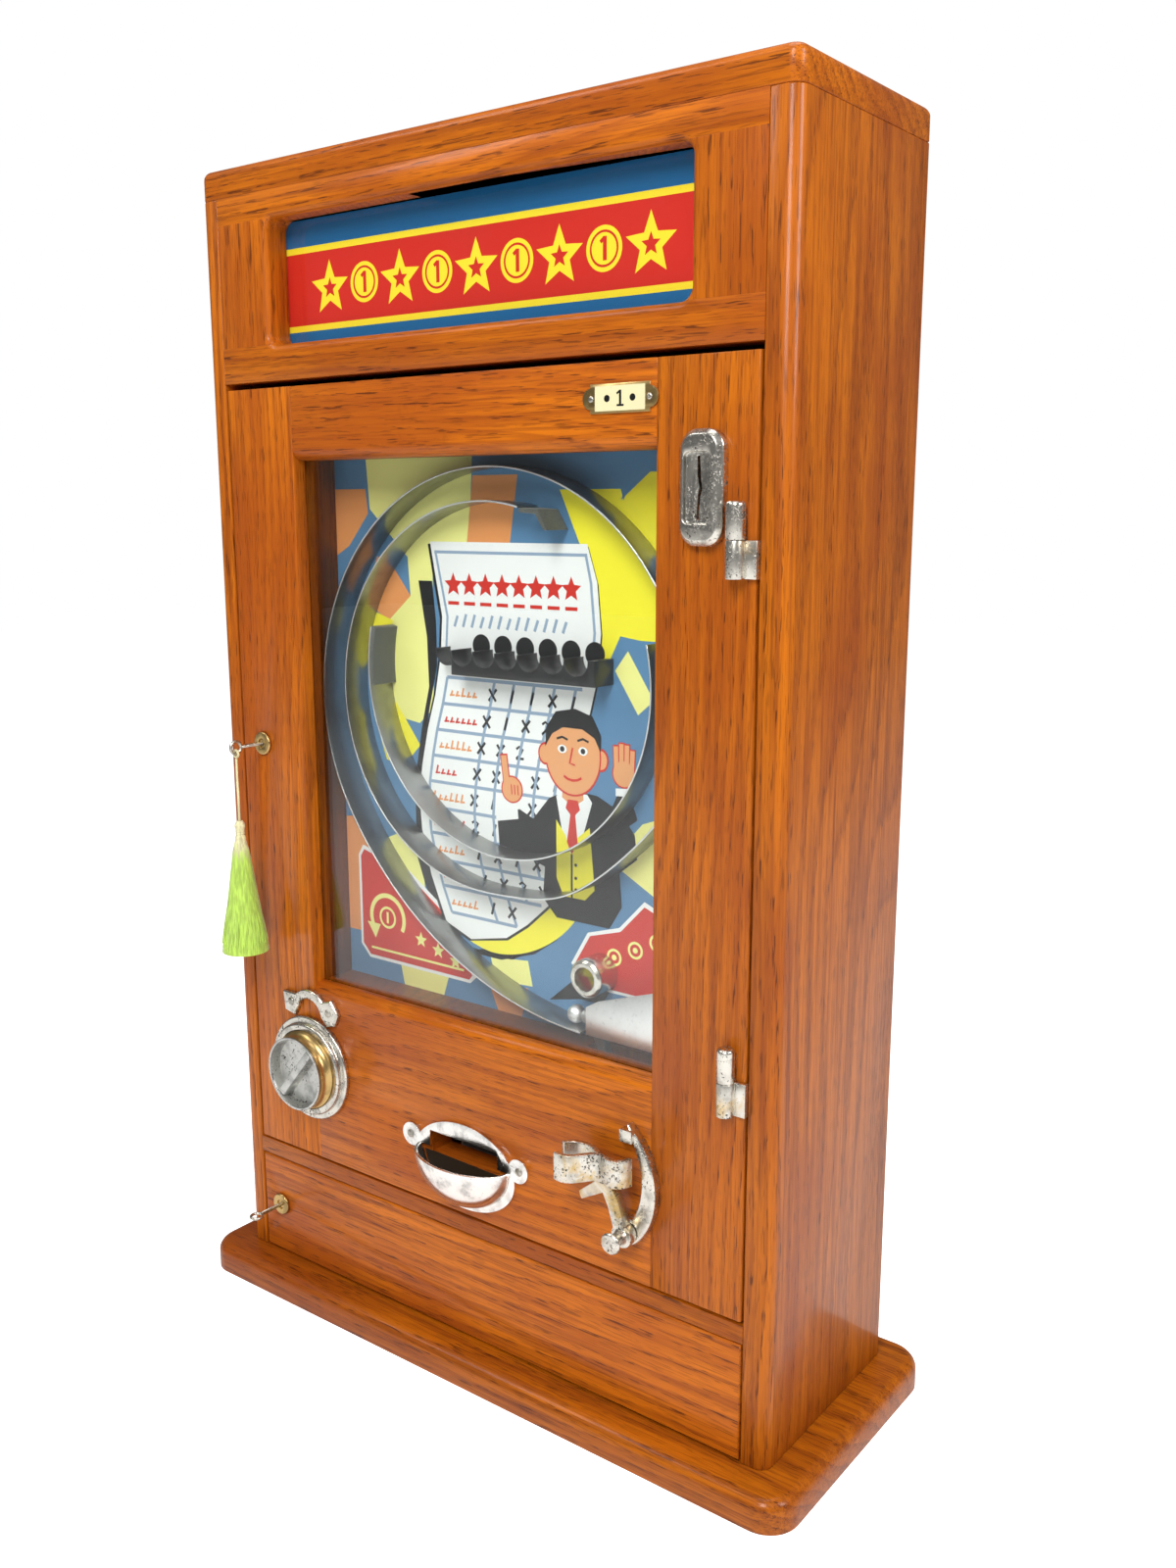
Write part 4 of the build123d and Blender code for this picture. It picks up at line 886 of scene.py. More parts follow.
class MachineMetal(bpy.types.PropertyGroup):
    """Plated fittings, steel and glass."""

    nickel_colour: hue("Nickel", "Colour of the plating", (0.70, 0.67, 0.60))
    brass_colour: hue("Brass", "Colour where the plating has worn off", (0.62, 0.43, 0.17))
    steel_colour: hue("Steel", "Colour of the tracks and the ball", (0.36, 0.36, 0.35))
    glass_colour: hue("Glass", "Tint of the panes", (0.97, 0.99, 0.98))
    pitting: number("Pitting", "How pitted the plating is", 0.85)


class MachinePrint(bpy.types.PropertyGroup):
    """Inks of the playfield and the name panel."""

    blue: hue("Blue", "Playfield blue", (0.105, 0.245, 0.43))
    yellow: hue("Yellow", "Playfield yellow", (0.97, 0.87, 0.035))
    straw: hue("Straw", "Playfield pale yellow", (0.93, 0.90, 0.30))
    orange: hue("Orange", "Playfield orange", (0.85, 0.33, 0.105))
    red: hue("Red", "Playfield red", (0.66, 0.030, 0.018))
    white: hue("White", "Coupon white", (0.93, 0.93, 0.92))
    deep_blue: hue("Panel Blue", "Name panel blue", (0.012, 0.13, 0.32))
    gold: hue("Panel Yellow", "Name panel yellow", (0.96, 0.74, 0.03))
    name_red: hue("Panel Red", "Name panel red", (0.62, 0.022, 0.012))


class MachineTassel(bpy.types.PropertyGroup):
    """The tassel on the door key."""

    cream: hue("Cream", "Colour of the cord and head", (0.80, 0.74, 0.42))
    lime: hue("Lime", "Colour of the skirt", (0.50, 0.74, 0.10))
    strands: IntProperty(name="Strands", description="Strands in the skirt", default=260, min=40, max=600)
    strand_radius: number(
        "Strand Radius", "Radius of one strand", 0.00055, 0.0001, 0.002, unit="LENGTH", precision=5
    )
    seed: IntProperty(name="Seed", description="Seed of the strands' lie", default=4)


class MachineStage(bpy.types.PropertyGroup):
    """Lamps, floor and camera."""

    floor_colour: hue("Floor", "Colour of the floor", (0.92, 0.92, 0.92))
    floor_glow: number("Floor Glow", "Light given by the floor", 0.12)
    sky: number("Surround", "Brightness of the surround", 0.16)
    key: number("Key Lamp", "Power of the key lamp", 43.0, 0.0, 500.0, unit="POWER")
    fill: number("Fill Lamp", "Power of the fill lamp", 18.0, 0.0, 500.0, unit="POWER")
    side: number("Side Lamp", "Power of the side lamp", 30.0, 0.0, 500.0, unit="POWER")
    lens: number("Lens", "Focal length in millimetres", 32.13, 10.0, 200.0)


SETTINGS = {
    "machine_wood": MachineWood,
    "machine_metal": MachineMetal,
    "machine_print": MachinePrint,
    "machine_tassel": MachineTassel,
    "machine_stage": MachineStage,
}
DONE = {"FINISHED"}


# Case and door woodwork
class MACHINE_OT_case_boards(bpy.types.Operator):
    """Dresses the case's boards in varnished oak with eased edges"""

    bl_idname = "machine.case_boards"
    bl_label = "Case Boards"

    def execute(self, context):
        ease = context.scene.machine_wood.edge_ease
        boards = {
            "base_plinth": ("X", (0.31, 0.02, 0.11), 0.74, 0.010),
            "left_side": ("Z", (0.05, 0.30, 0.2), 0.92, 0.008),
            "right_side": ("Z", (0.43, 0.12, 0.7), 0.86, 0.012),
            "top_board": ("X", (0.9, 0.4, 0.3), 0.95, 0.009),
        }
        for node, grain in boards.items():
            dressed(node, oak(node, *grain), ease)
        for node, tone in (("back_panel", (0.30, 0.17, 0.075)), ("marquee_battens", (0.42, 0.26, 0.12))):
            coat(node, material_named("timber_" + node, raw_timber, tone))
        dressed("cash_shelf", oak("cash_shelf", "X", (0.2, 0.1, 0.9), 0.8), 0.5)
        return DONE


def cut_away(form, point, normal):
    """Keeps what is behind a plane and closes the cut."""
    geometry = list(form.verts) + list(form.edges) + list(form.faces)
    plane = {"plane_co": point, "plane_no": normal}
    cut = bmesh.ops.bisect_plane(form, geom=geometry, clear_outer=True, dist=1e-7, **plane)
    edges = [g for g in cut["geom_cut"] if isinstance(g, bmesh.types.BMEdge)]
    bmesh.ops.holes_fill(form, edges=edges, sides=0)


class MACHINE_OT_header(bpy.types.Operator):
    """Splits the header frame into two rails and two stiles, each with its own grain"""

    bl_idname = "machine.header"
    bl_label = "Header Frame"

    def execute(self, context):
        low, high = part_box("marquee_panel")
        rebate = 10.0 * MM
        lower, upper = (0, 0, low.z + rebate), (0, 0, high.z - rebate)
        middle = ((low.x + high.x) / 2, 0, 0)
        between = [(lower, (0, 0, -1)), (upper, (0, 0, 1))]
        pieces = {
            "top_rail": ([(upper, (0, 0, -1))], "X", (0.13, 0.2, 0.45), 1.0),
            "low_rail": ([(lower, (0, 0, 1))], "X", (0.55, 0.2, 0.05), 0.97),
            "left_stile": (between + [(middle, (1, 0, 0))], "Z", (0.7, 0.1, 0.33), 1.04),
            "right_stile": (between + [(middle, (-1, 0, 0))], "Z", (0.22, 0.5, 0.81), 0.93),
        }
        for part, (planes, *grain) in pieces.items():
            name = "header_" + part
            form = merged_copy("header_frame")
            for point, normal in planes:
                cut_away(form, point, normal)
            bmesh.ops.recalc_face_normals(form, faces=form.faces)
            dressed("header_frame", oak(name, *grain), 0.45, name=name, form=form)
        return DONE


class MACHINE_OT_door_frame(bpy.types.Operator):
    """Dresses the door's stiles and rails and the cash door"""

    bl_idname = "machine.door_frame"
    bl_label = "Door Frame"

    def execute(self, context):
        ease = context.scene.machine_wood.edge_ease
        boards = {
            "door_left_stile": ("Z", (0.62, 0.25, 0.6), 1.0, 0.008),
            "door_right_stile": ("Z", (0.17, 0.61, 0.1), 0.92, 0.009),
            "door_top_rail": ("X", (0.4, 0.3, 0.62), 1.06, 0.010),
            "door_bottom_rail": ("X", (0.75, 0.05, 0.24), 1.0, 0.013),
            "cash_door": ("X", (0.08, 0.5, 0.37), 1.02, 0.011),
        }
        for node, grain in boards.items():
            dressed(node, oak(node, *grain), ease if node == "cash_door" else 0.5)
        # The glass beads and the playfield's walls take the same oak at tones 0.5 and 0.38: painted shade in
        # the window's reveal and inside the box behind the glass.
        coat("glass_beads", oak("glass_beads", "Z", (0.3, 0.3, 0.3), 0.5))
        coat("playfield_walls", oak("walls", "Z", (0.1, 0.8, 0.3), 0.38))
        return DONE


# Name panel
class MACHINE_OT_name_panel(bpy.types.Operator):
    """Prints the striped name panel with a row of stars and pennies, and glazes it"""

    bl_idname = "machine.name_panel"
    bl_label = "Name Panel"

    def execute(self, context):
        low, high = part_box("marquee_panel")
        left, right = low.x / MM, high.x / MM
        foot, head = (low.z - PLINTH_TOP) / MM, (high.z - PLINTH_TOP) / MM
        work = Print(PANEL_Y, ("deep_blue", "gold", "name_red"))
        work.shapes(
            ("deep_blue", 1, box_outline(left, foot, right, head)),
            ("gold", 2, box_outline(left, 698.5, right, 754.0)),
            ("name_red", 3, box_outline(left, 702.6, right, 749.8)),
        )
        middle = 726.2
        for k in range(9):
            x = -132.0 + 33.0 * k
            if k % 2 == 0:
                for ink, level, radius in (("gold", 4, 18.5), ("name_red", 5, 7.0)):
                    work.star(ink, level, (x, middle - 1.0), radius, 0.44)
                continue
            for ink, level, radius in (("gold", 4, 13.0), ("name_red", 5, 10.4), ("gold", 6, 9.0)):
                work.disc(ink, level, (x, middle), radius, 36)
            work.stroke("name_red", 7, [(x - 2.6, 730.0), (x + 0.6, 732.4)], 2.2)
            work.stroke("name_red", 7, [(x + 0.6, 733.0), (x + 0.6, 719.6)], 2.8)
        work.piece("name_panel_print", "marquee_panel")
        coat("marquee_panel", ink_material("deep_blue"))
        coat("marquee_glass", material_named("pane_glass", pane_glass))
        return DONE


# Playfield print
PATCHES = (
    ("orange", [(-163, 592), (-132, 592), (-130, 575), (-150, 552), (-163, 545)]),
    ("straw", [(-131, 616), (-30, 616), (-34, 556), (-68, 556), (-92, 545), (-128, 578)]),
    ("orange", [(-30, 600), (9, 600), (2, 556), (-36, 556)]),
    ("orange", [(-122, 545), (-108, 540), (-90, 518), (-112, 500), (-136, 512)]),
    ("straw", [(-92, 545), (-68, 556), (-70, 440), (-84, 428), (-98, 430), (-85, 412), (-104, 396),
               (-125, 430), (-124, 470), (-112, 500), (-90, 518)]),
    ("yellow", [(-124, 505), (-108, 500), (-118, 470), (-132, 462), (-140, 490)]),
    ("yellow", [(-118, 398), (-100, 396), (-84, 412), (-98, 430), (-116, 452), (-130, 430)]),
    ("yellow", [(44, 590), (95, 590), (92, 583), (114, 600), (163, 600), (163, 498), (120, 497),
                (108, 497), (92, 499), (76, 468), (72, 540), (60, 556)]),
    ("blue", [(84, 616), (112, 616), (94, 583)]),
    ("blue", [(121, 553), (163, 580), (163, 520), (126, 530)]),
    ("straw", [(88, 477), (98, 490), (118, 460), (106, 450)]),
    ("straw", [(110, 380), (163, 400), (163, 330), (120, 333), (84, 352)]),
    ("orange", [(-163, 350), (-148, 352), (-140, 330), (-150, 262), (-163, 262)]),
    ("straw", [(-122, 338), (-100, 348), (-84, 330), (-82, 290), (-100, 262), (-112, 300)]),
    ("straw", [(-110, 246), (-60, 246), (-66, 228), (-106, 228)]),
    ("orange", [(-22, 246), (14, 250), (8, 228), (-14, 228)]),
    ("straw", [(-20, 266), (14, 270), (18, 252), (-16, 250)]),
    ("orange", [(126, 246), (163, 250), (163, 228), (132, 228)]),
)
SHEET_LEFT = ((-70, 556), (-66, 535), (-60, 505), (-62, 478), (-68, 450), (-76, 425), (-82, 400), (-86, 375),
              (-84, 350), (-76, 318), (-62, 285))
SHEET_RIGHT = ((-38, 276), (-5, 283), (14, 296), (34, 314), (52, 345), (62, 400), (66, 440), (74, 470),
               (77, 500), (74, 532), (66, 556))
ROW_STEP = 18.9
COUPON_SHADOW = [
    (-82, 529), (-69, 529), (-66, 500), (-66, 470), (-74, 440), (-82, 405), (-82, 380), (-80, 330),
    (-66, 292), (-40, 270), (0, 268), (40, 290), (58, 312), (50, 300), (20, 276), (-10, 266),
    (-44, 266), (-74, 288), (-90, 330), (-90, 385), (-82, 425), (-74, 455), (-75, 490),
]
COUPON_CURL = [
    (-52, 280), (-20, 270), (14, 276), (44, 294), (60, 316), (40, 322), (28, 306), (0, 290), (-30, 281),
]
TWO = [(-3.0, 2.6), (-0.4, 4.4), (2.6, 2.6), (0.4, -1.0), (-3.2, -4.0)]
MARKS = {
    "1": (([(-1.2, -4.4), (1.4, 4.4)], 2.0),),
    "X": (([(-3.4, -4.2), (3.8, 4.2)], 1.9), ([(-2.8, 4.0), (3.0, -4.2)], 1.9)),
    "2": ((TWO, 1.7), ([(-3.4, -4.0), (3.4, -3.6)], 1.7)),
}
SUIT = (
    ("black", 8, [(-10, 345), (-12, 371), (8, 377), (20, 372), (34, 388), (52, 396), (74, 394), (92, 386),
                  (104, 372), (106, 356), (92, 345), (94, 322), (84, 306), (40, 306), (28, 318), (30, 340),
                  (10, 346)]),
    ("white", 9, [(40, 390), (44, 394), (66, 394), (70, 389), (58, 352), (48, 352)]),
    ("yellow", 10, [(40, 374), (48, 364), (52, 352), (58, 364), (68, 372), (72, 330), (64, 322), (46, 322),
                    (40, 334)]),
    ("red", 11, [(50, 389), (58, 389), (60, 383), (56, 379), (58, 360), (53, 352), (49, 360), (52, 379),
                 (48, 383)]),
)
HAIR = [
    (31.0, 423), (32, 436), (40, 447), (56, 450), (70, 446), (77, 434), (77, 423), (72, 432), (62, 437),
    (46, 437), (37, 432),
]
ARROW_PANEL = (
    ("white", 2, [(-151, 322), (-151, 252), (-142, 242.5), (-40, 242.5), (-34, 248), (-60, 292),
                  (-100, 318), (-146, 330)]),
    ("red", 3, [(-148.6, 321), (-148.6, 253), (-141, 245), (-41, 245), (-38, 248.6), (-62, 289),
                (-101, 315), (-145, 326.6)]),
)
SHIELD = (
    ("white", 2, [(52, 276), (66, 300), (92, 308), (112, 329), (124, 324), (163, 330), (163, 262),
                  (74, 262)]),
    ("red", 3, [(55, 276), (68, 298), (93, 305.4), (112, 325.4), (124, 321), (163, 326), (163, 264),
                (76, 264)]),
)
SHIELD_ARROW_AND_NOZZLE_SHADOW = (
    ("straw", 4, [(140, 296), (148, 296), (148, 306), (154, 306), (144, 318), (134, 306), (140, 306)]),
    # The black point below and left of the ball nozzle is the nozzle's shadow, painted.
    ("black", 4, [(33, 246), (56, 266), (84, 262), (78, 252), (60, 252)]),
    ("yellow", 5, [(70, 276), (84, 272), (74, 262), (66, 268)]),
)


def curve_x(points, height):
    """The x of an edge given by points at a height."""
    ordered = sorted(points, key=lambda p: p[1])
    for low, high in zip(ordered, ordered[1:]):
        if low[1] <= height <= high[1]:
            return low[0] + (high[0] - low[0]) * (height - low[1]) / (high[1] - low[1])
    return ordered[-1][0]


class MACHINE_OT_playfield_print(bpy.types.Operator):
    """Prints the patchwork, the results coupon and a generic gentleman on the playfield"""

    bl_idname = "machine.playfield_print"
    bl_label = "Playfield Print"

    def execute(self, context):
        inks = ("blue", "yellow", "straw", "orange", "red", "white", "black", "grey", "skin")
        work = Print(BOARD_Y, inks)
        for ink, outline in PATCHES:
            work.shape(ink, 1, outline)
        self.coupon(work)
        self.results(work)
        self.gentleman(work)
        self.hands(work)
        self.panels(work)
        work.piece("playfield_print", "playfield_board")
        coat("playfield_board", ink_material("blue"))
        board = frame["nodes"]["playfield_board"].data
        board.materials.append(material_named("timber_board", raw_timber, (0.33, 0.19, 0.085)))
        for face in board.polygons:
            face.material_index = int(face.normal.y > -0.5)
        return DONE

    def coupon(self, work):
        """The white sheet with its shadow, its border and its ruled rows and columns, and black discs
        painted as the shade in the ball holes behind the cups.
        """
        work.shape("black", 2, COUPON_SHADOW)
        work.shape("yellow", 3, smooth_outline(COUPON_CURL))
        sheet = list(SHEET_LEFT) + list(SHEET_RIGHT)
        work.shape("black", 4, [(x - (2.2 if x < -20 else -1.0), z - 1.6) for x, z in sheet])
        work.shape("white", 5, sheet)
        left = [(x + 5.0, z) for x, z in SHEET_LEFT if 470 < z < 550]
        right = [(x - 5.0, z) for x, z in SHEET_RIGHT[::-1] if 468 < z < 540]
        work.strokes(
            ("grey", 6, [(-65, 549)] + left[1:], 2.0),
            ("grey", 6, [(65, 549)] + right, 2.0),
            ("grey", 6, [(-66, 549), (66, 549)], 2.0),
        )
        for k in range(8):
            x = -49 + 14.6 * k
            work.star("red", 6, (x, 527), 8.4, 0.46)
            work.stroke("red", 6, [(x - 5, 514.6), (x + 5, 514.6)], 2.4)
        # Six black discs behind the winner cups stand in for the ball holes in the board: painted shade, not
        # holes.
        for k in range(6):
            work.disc("black", 7, (-24.3 + 19.3 * k, 486.6), 7.8, 28)
        for k in range(13):
            x = -46 + 7.9 * k
            lift = 1.3 if k % 3 else 0.0
            work.stroke("grey", 6, [(x - 2.6, 498.5), (x + 0.4, 506 + lift)], 2.2)
        rows = [height for height in (463.0 - ROW_STEP * k for k in range(10)) if height > 286]
        for height in rows:
            start = curve_x(SHEET_LEFT, height) + 9
            stop = min(curve_x(SHEET_RIGHT, height) - 5, 62)
            work.stroke("grey", 6, [(start, height), (stop, height)], 2.3)
        for k in range(6):
            shift = 9 if k == 0 else 35 + 17.4 * k
            line = [(curve_x(SHEET_LEFT, height) + shift, height) for height in rows]
            line = [(x, height) for x, height in line if x < curve_x(SHEET_RIGHT, height) - 4]
            if len(line) > 1:
                work.stroke("grey", 6, line, 2.3)

    def results(self, work):
        """Squiggles for the names and a mark for each result."""
        order = random.Random(7)
        for k in range(9):
            height = 453.5 - ROW_STEP * k
            if height < 292:
                continue
            edge = curve_x(SHEET_LEFT, height) + 14
            ink = "red" if k % 2 else "orange"
            x = edge
            for _ in range(order.randint(4, 6)):
                tall = order.choice((3.0, 3.0, 5.0)) * 1.2 - 3.2
                work.stroke(ink, 6, [(x, height - 3.2), (x + 1.6, height + tall)], 1.5)
                work.stroke(ink, 6, [(x - 1.0, height - 3.0), (x + 3.4, height - 2.6)], 1.3)
                x += 5.2
            for column in range(5):
                x = edge + 38.2 + 17.4 * column
                if x <= curve_x(SHEET_RIGHT, height) - 8:
                    for points, width in MARKS[order.choice("1X12X")]:
                        work.stroke("black", 6, [(x + a, height + b) for a, b in points], width)

    def gentleman(self, work):
        """A calm generic man in a dark suit who points at the results."""
        work.shapes(*SUIT)
        work.stroke("black", 11, [(53, 352), (53, 322)], 1.6)
        for height in (345, 336, 328):
            work.disc("black", 12, (56.4, height), 1.2, 10)
        work.shape("skin", 9, [(46, 402), (62, 402), (63, 390), (54, 384), (45, 390)])
        work.disc("red", 9, (54, 419), 23.4, 36, 1.18)
        work.disc("skin", 10, (54, 419), 22.2, 36, 1.18)
        for sign in (-1, 1):
            ear = (54 + sign * 23.0, 418)
            work.disc("red", 8, ear, 6.2, 18, 1.25)
            work.disc("skin", 9, ear, 5.0, 18, 1.25)
            x = 54 + sign * 8.6
            work.disc("white", 11, (x, 422.5), 3.8, 16, 0.75)
            work.disc("black", 12, (x, 422.5), 1.9, 12)
            work.stroke("black", 11, [(x - 4.6, 429.0), (x, 430.6), (x + 4.6, 429.0)], 1.5)
        mouth = [(46.6, 404.6), (50, 402.8), (54, 402.2), (58, 402.8), (61.4, 404.6)]
        work.stroke("red", 11, [(54, 424), (51.6, 413.5), (56.0, 412.6)], 1.4)
        work.stroke("red", 11, mouth, 1.7)
        work.shape("black", 12, HAIR)

    def hands(self, work):
        """His open left hand and his pointing right hand."""
        work.shape("black", 9, [(92, 372), (84, 384), (90, 396), (100, 398), (106, 382)])
        work.shape("white", 10, [(89, 396), (89, 401), (102, 402), (102, 397)])
        work.disc("red", 9, (95.4, 411), 9.4, 22)
        work.disc("skin", 10, (95.4, 411), 8.4, 22)
        for k, reach in enumerate((2.4, 4.4, 3.8, 0.6)):
            x, tip, tall = 89.5 + 4.0 * k, 89.0 + 4.4 * k, 427 + reach
            work.stroke("red", 9, [(x, 412), (tip, tall)], 4.8)
            work.stroke("skin", 10, [(x, 412), (tip, tall - 0.9)], 3.4)
        work.shape("white", 10, [(-13, 366), (-13, 378), (6, 381), (7, 370)])
        work.disc("red", 10, (1.6, 390), 9.6, 22)
        work.disc("skin", 11, (1.6, 390), 8.6, 22)
        work.stroke("red", 10, [(-2.4, 390), (-5.6, 414)], 6.4)
        work.stroke("skin", 11, [(-2.4, 390), (-5.5, 412.9)], 4.8)
        for k in range(3):
            work.stroke("red", 12, [(1.0 + 2.8 * k, 393.4), (1.6 + 2.8 * k, 386.6)], 0.9)

    def panels(self, work):
        """The red direction panel, the red shield, and the ball nozzle's shadow painted as a black point
        below and left of it.
        """
        work.shapes(*ARROW_PANEL)
        angles = [math.radians(angle) for angle in range(-30, 215, 12)]
        arc = [(-122 + 17 * math.cos(angle), 277 + 17 * math.sin(angle)) for angle in angles]
        work.stroke("straw", 4, arc, 3.6)
        barbs = ((-7, 2.4), (7, 2.0), (1.4, -9.5))
        work.shape("straw", 4, [(arc[-1][0] + x, arc[-1][1] + z) for x, z in barbs])
        work.disc("straw", 4, (-122, 277), 8.6, 28)
        work.disc("red", 5, (-122, 277), 6.6, 28)
        work.stroke("straw", 6, [(-122, 272.6), (-122, 281.4)], 2.2)
        for k in range(3):
            work.star("straw", 4, (-88 + 17 * k, 266 - 5 * k), 6.2)
        work.stroke("straw", 4, [(-140, 251), (-46, 251)], 1.8)
        work.shapes(*SHIELD)
        for k in range(3):
            centre = (88 + 17 * k, 287 + 8 * k)
            work.disc("straw", 4, centre, 6.0)
            work.disc("red", 5, centre, 4.2)
            work.disc("straw", 6, centre, 2.0, 16)
        work.shapes(*SHIELD_ARROW_AND_NOZZLE_SHADOW)


# Ball tracks and what stands on the playfield
class MACHINE_OT_ball_tracks(bpy.types.Operator):
    """Dresses the tracks, stops, cups, nozzle, launcher plate and ball"""

    bl_idname = "machine.ball_tracks"
    bl_label = "Ball Tracks"

    def execute(self, context):
        strip = material_named("strip_steel", strip_steel)
        edge = material_named("strip_edge", plain_metal, (0.86, 0.87, 0.87), 0.3, 1.0, 0.2)
        for node in ("outer_track", "middle_track", "inner_track"):
            track = dressed(node, strip, 0.25, sharp=50).data
            track.materials.append(edge)
            for face in track.polygons:
                face.material_index = int(face.normal.y < -0.6)
        finishes = {
            "track_stops": (0.4, "felt_stop", pressed_felt, (0.10, 0.105, 0.09)),
            "winner_cups": (0.25, "cup_enamel", plain_metal, (0.02, 0.02, 0.021), 0.22, 0.0, 0.6),
            "ball_nozzle": (0.4, "nozzle_plate", worn_plate, None, 0.35, 0.1, 0.16),
            "launcher_plate": (0.3, "launcher_bright", plain_metal, (0.88, 0.88, 0.87), 0.24, 1.0, 0.25),
        }
        for node, (ease, *finish) in finishes.items():
            dressed(node, material_named(*finish), ease)
        low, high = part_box("ball")
        form = bmesh.new()
        bmesh.ops.create_icosphere(form, subdivisions=4, radius=(high.x - low.x) / 2)
        bmesh.ops.translate(form, vec=(low + high) / 2, verts=form.verts)
        mesh = mesh_from("steel_ball", form, edge)
        new_piece("steel_ball", mesh, "ball", ("ball",), 180)
        return DONE


# Metal fittings
class MACHINE_OT_fittings(bpy.types.Operator):
    """Dresses the coin slot, hinges, knob, cup, trigger, locks and keys"""

    bl_idname = "machine.fittings"
    bl_label = "Metal Fittings"

    def execute(self, context):
        pitting = context.scene.machine_metal.pitting
        brass_tones = ((0.58, 0.40, 0.16), 0.35, 0.3, 0.22, (0.40, 0.25, 0.09))
        finishes = {
            "nickel_worn": (None, pitting, 0.30, 0.17),
            "nickel_brassed": (None, pitting, 0.85, 0.2),
            "nickel_bright": ((0.88, 0.86, 0.82), 0.45, 0.1, 0.12),
            "aged_brass": brass_tones,
            "key_steel": ((0.62, 0.58, 0.50), 0.5, 0.4, 0.25),
        }
        metals = {name: material_named(name, worn_plate, *tones) for name, tones in finishes.items()}
        for node, (metal, ease) in FITTINGS.items():
            dressed(node, metals[metal], ease)
        self.cup_inside()
        self.knob(metals["aged_brass"])
        self.price_plate(metals["aged_brass"])
        self.screws()
        return DONE

    def cup_inside(self):
        """Dulls the payout cup's inside and paints the cup's shadow on the wood behind and below it."""
        cup = bpy.data.objects["payout_cup_dressed"].data
        cup.materials.append(material_named("cup_inside", plain_metal, (0.16, 0.15, 0.13), 0.5, 0.9, 0.7))
        low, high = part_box("payout_cup")
        heart = Vector(((low.x + high.x) / 2, FACE_Y, PLINTH_TOP + CUP_HEIGHT * MM))
        for face in cup.polygons:
            inward = face.normal.dot(heart - face.center) > 0.004
            if inward and face.center.y < FACE_Y - 2.6 * MM and face.center.z < heart.z - 0.2 * MM:
                face.material_index = 1
        # A near-black half-ellipse on the wood below the cup's centre: the cup's shadow, painted.
        work = Print(FACE_Y, ("grime",))
        arc = [math.radians(angle) for angle in range(188, 353, 6)]
        points = [(heart.x / MM + 39.0 * math.cos(a), CUP_HEIGHT + 32.0 * math.sin(a)) for a in arc]
        work.shape("grime", 1, points)
        work.piece("cup_back", "payout_cup")

    def knob(self, brass):
        """The payout knob: a brass cove behind a dark rim and a mottled face."""
        rim = material_named("knob_rim", worn_plate, (0.34, 0.33, 0.31), 0.5, 0.25, 0.2)
        face = material_named("knob_face", worn_plate, (0.60, 0.60, 0.57), 0.8, 0.0, 0.34)
        low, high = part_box("payout_knob")
        centre = (low + high) / 2
        name = "payout_knob_dressed"
        mesh = eased(name, mesh_from(name, merged_copy("payout_knob"), brass, rim, face), 0.4)
        for polygon in mesh.polygons:
            middle = polygon.center
            out = math.hypot(middle.x - centre.x, middle.z - centre.z)
            deep = middle.y - low.y
            if out < 25.8 * MM and deep < 10.2 * MM:
                polygon.material_index = 2
            else:
                polygon.material_index = int(deep < 2.6 * MM)
        new_piece(mesh.name, mesh, "payout_knob", ("payout_knob",))

    def price_plate(self, brass):
        """The small ivory plate with a brass edge, and a generic figure one between two dots."""
        dressed("price_plate", brass, 0.2)
        low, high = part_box("price_plate")
        x = (low.x + high.x) / 2 / MM
        z = ((low.z + high.z) / 2 - PLINTH_TOP) / MM
        work = Print(low.y, ("ivory", "black"))
        work.shape("ivory", 1, box_outline(x - 17.6, z - 7.0, x + 17.6, z + 7.0))
        work.strokes(
            ("black", 3, [(x - 2.0, z + 2.4), (x + 0.4, z + 4.0)], 1.2),
            ("black", 3, [(x + 0.4, z + 4.4), (x + 0.4, z - 4.0)], 1.5),
            ("black", 3, [(x - 2.0, z - 4.0), (x + 2.8, z - 4.0)], 1.1),
        )
        for side in (-9.0, 9.0):
            work.disc("black", 3, (x + side, z), 2.0, 20)
        work.piece("price_plate_print", "price_plate")

    def screws(self):
        """A slotted head on every screw, each turned a little further than the last."""
        steel = material_named("screw_steel", worn_plate, (0.55, 0.52, 0.46), 0.6, 0.5, 0.25)
        shanks = loose_boxes("wood_screws")
        large = max(high.x - low.x for low, high in shanks)
        for name, wanted, seat, depth, replaces in (
            ("cup_screws", True, 1.15, 1.1, ("wood_screws",)),
            ("plate_pins", False, 0.75, 0.7, ()),
        ):
            chosen = [(low, high) for low, high in shanks if (high.x - low.x > 0.8 * large) == wanted]
            radius = (chosen[0][1].x - chosen[0][0].x) / 2
            points = [((a.x + b.x) / 2, a.y + seat * MM, (a.z + b.z) / 2) for a, b in chosen]
            pattern = slotted_head(radius, depth * MM)
            repeated(name, points, pattern, steel, "wood_screws", 0.9, replaces)


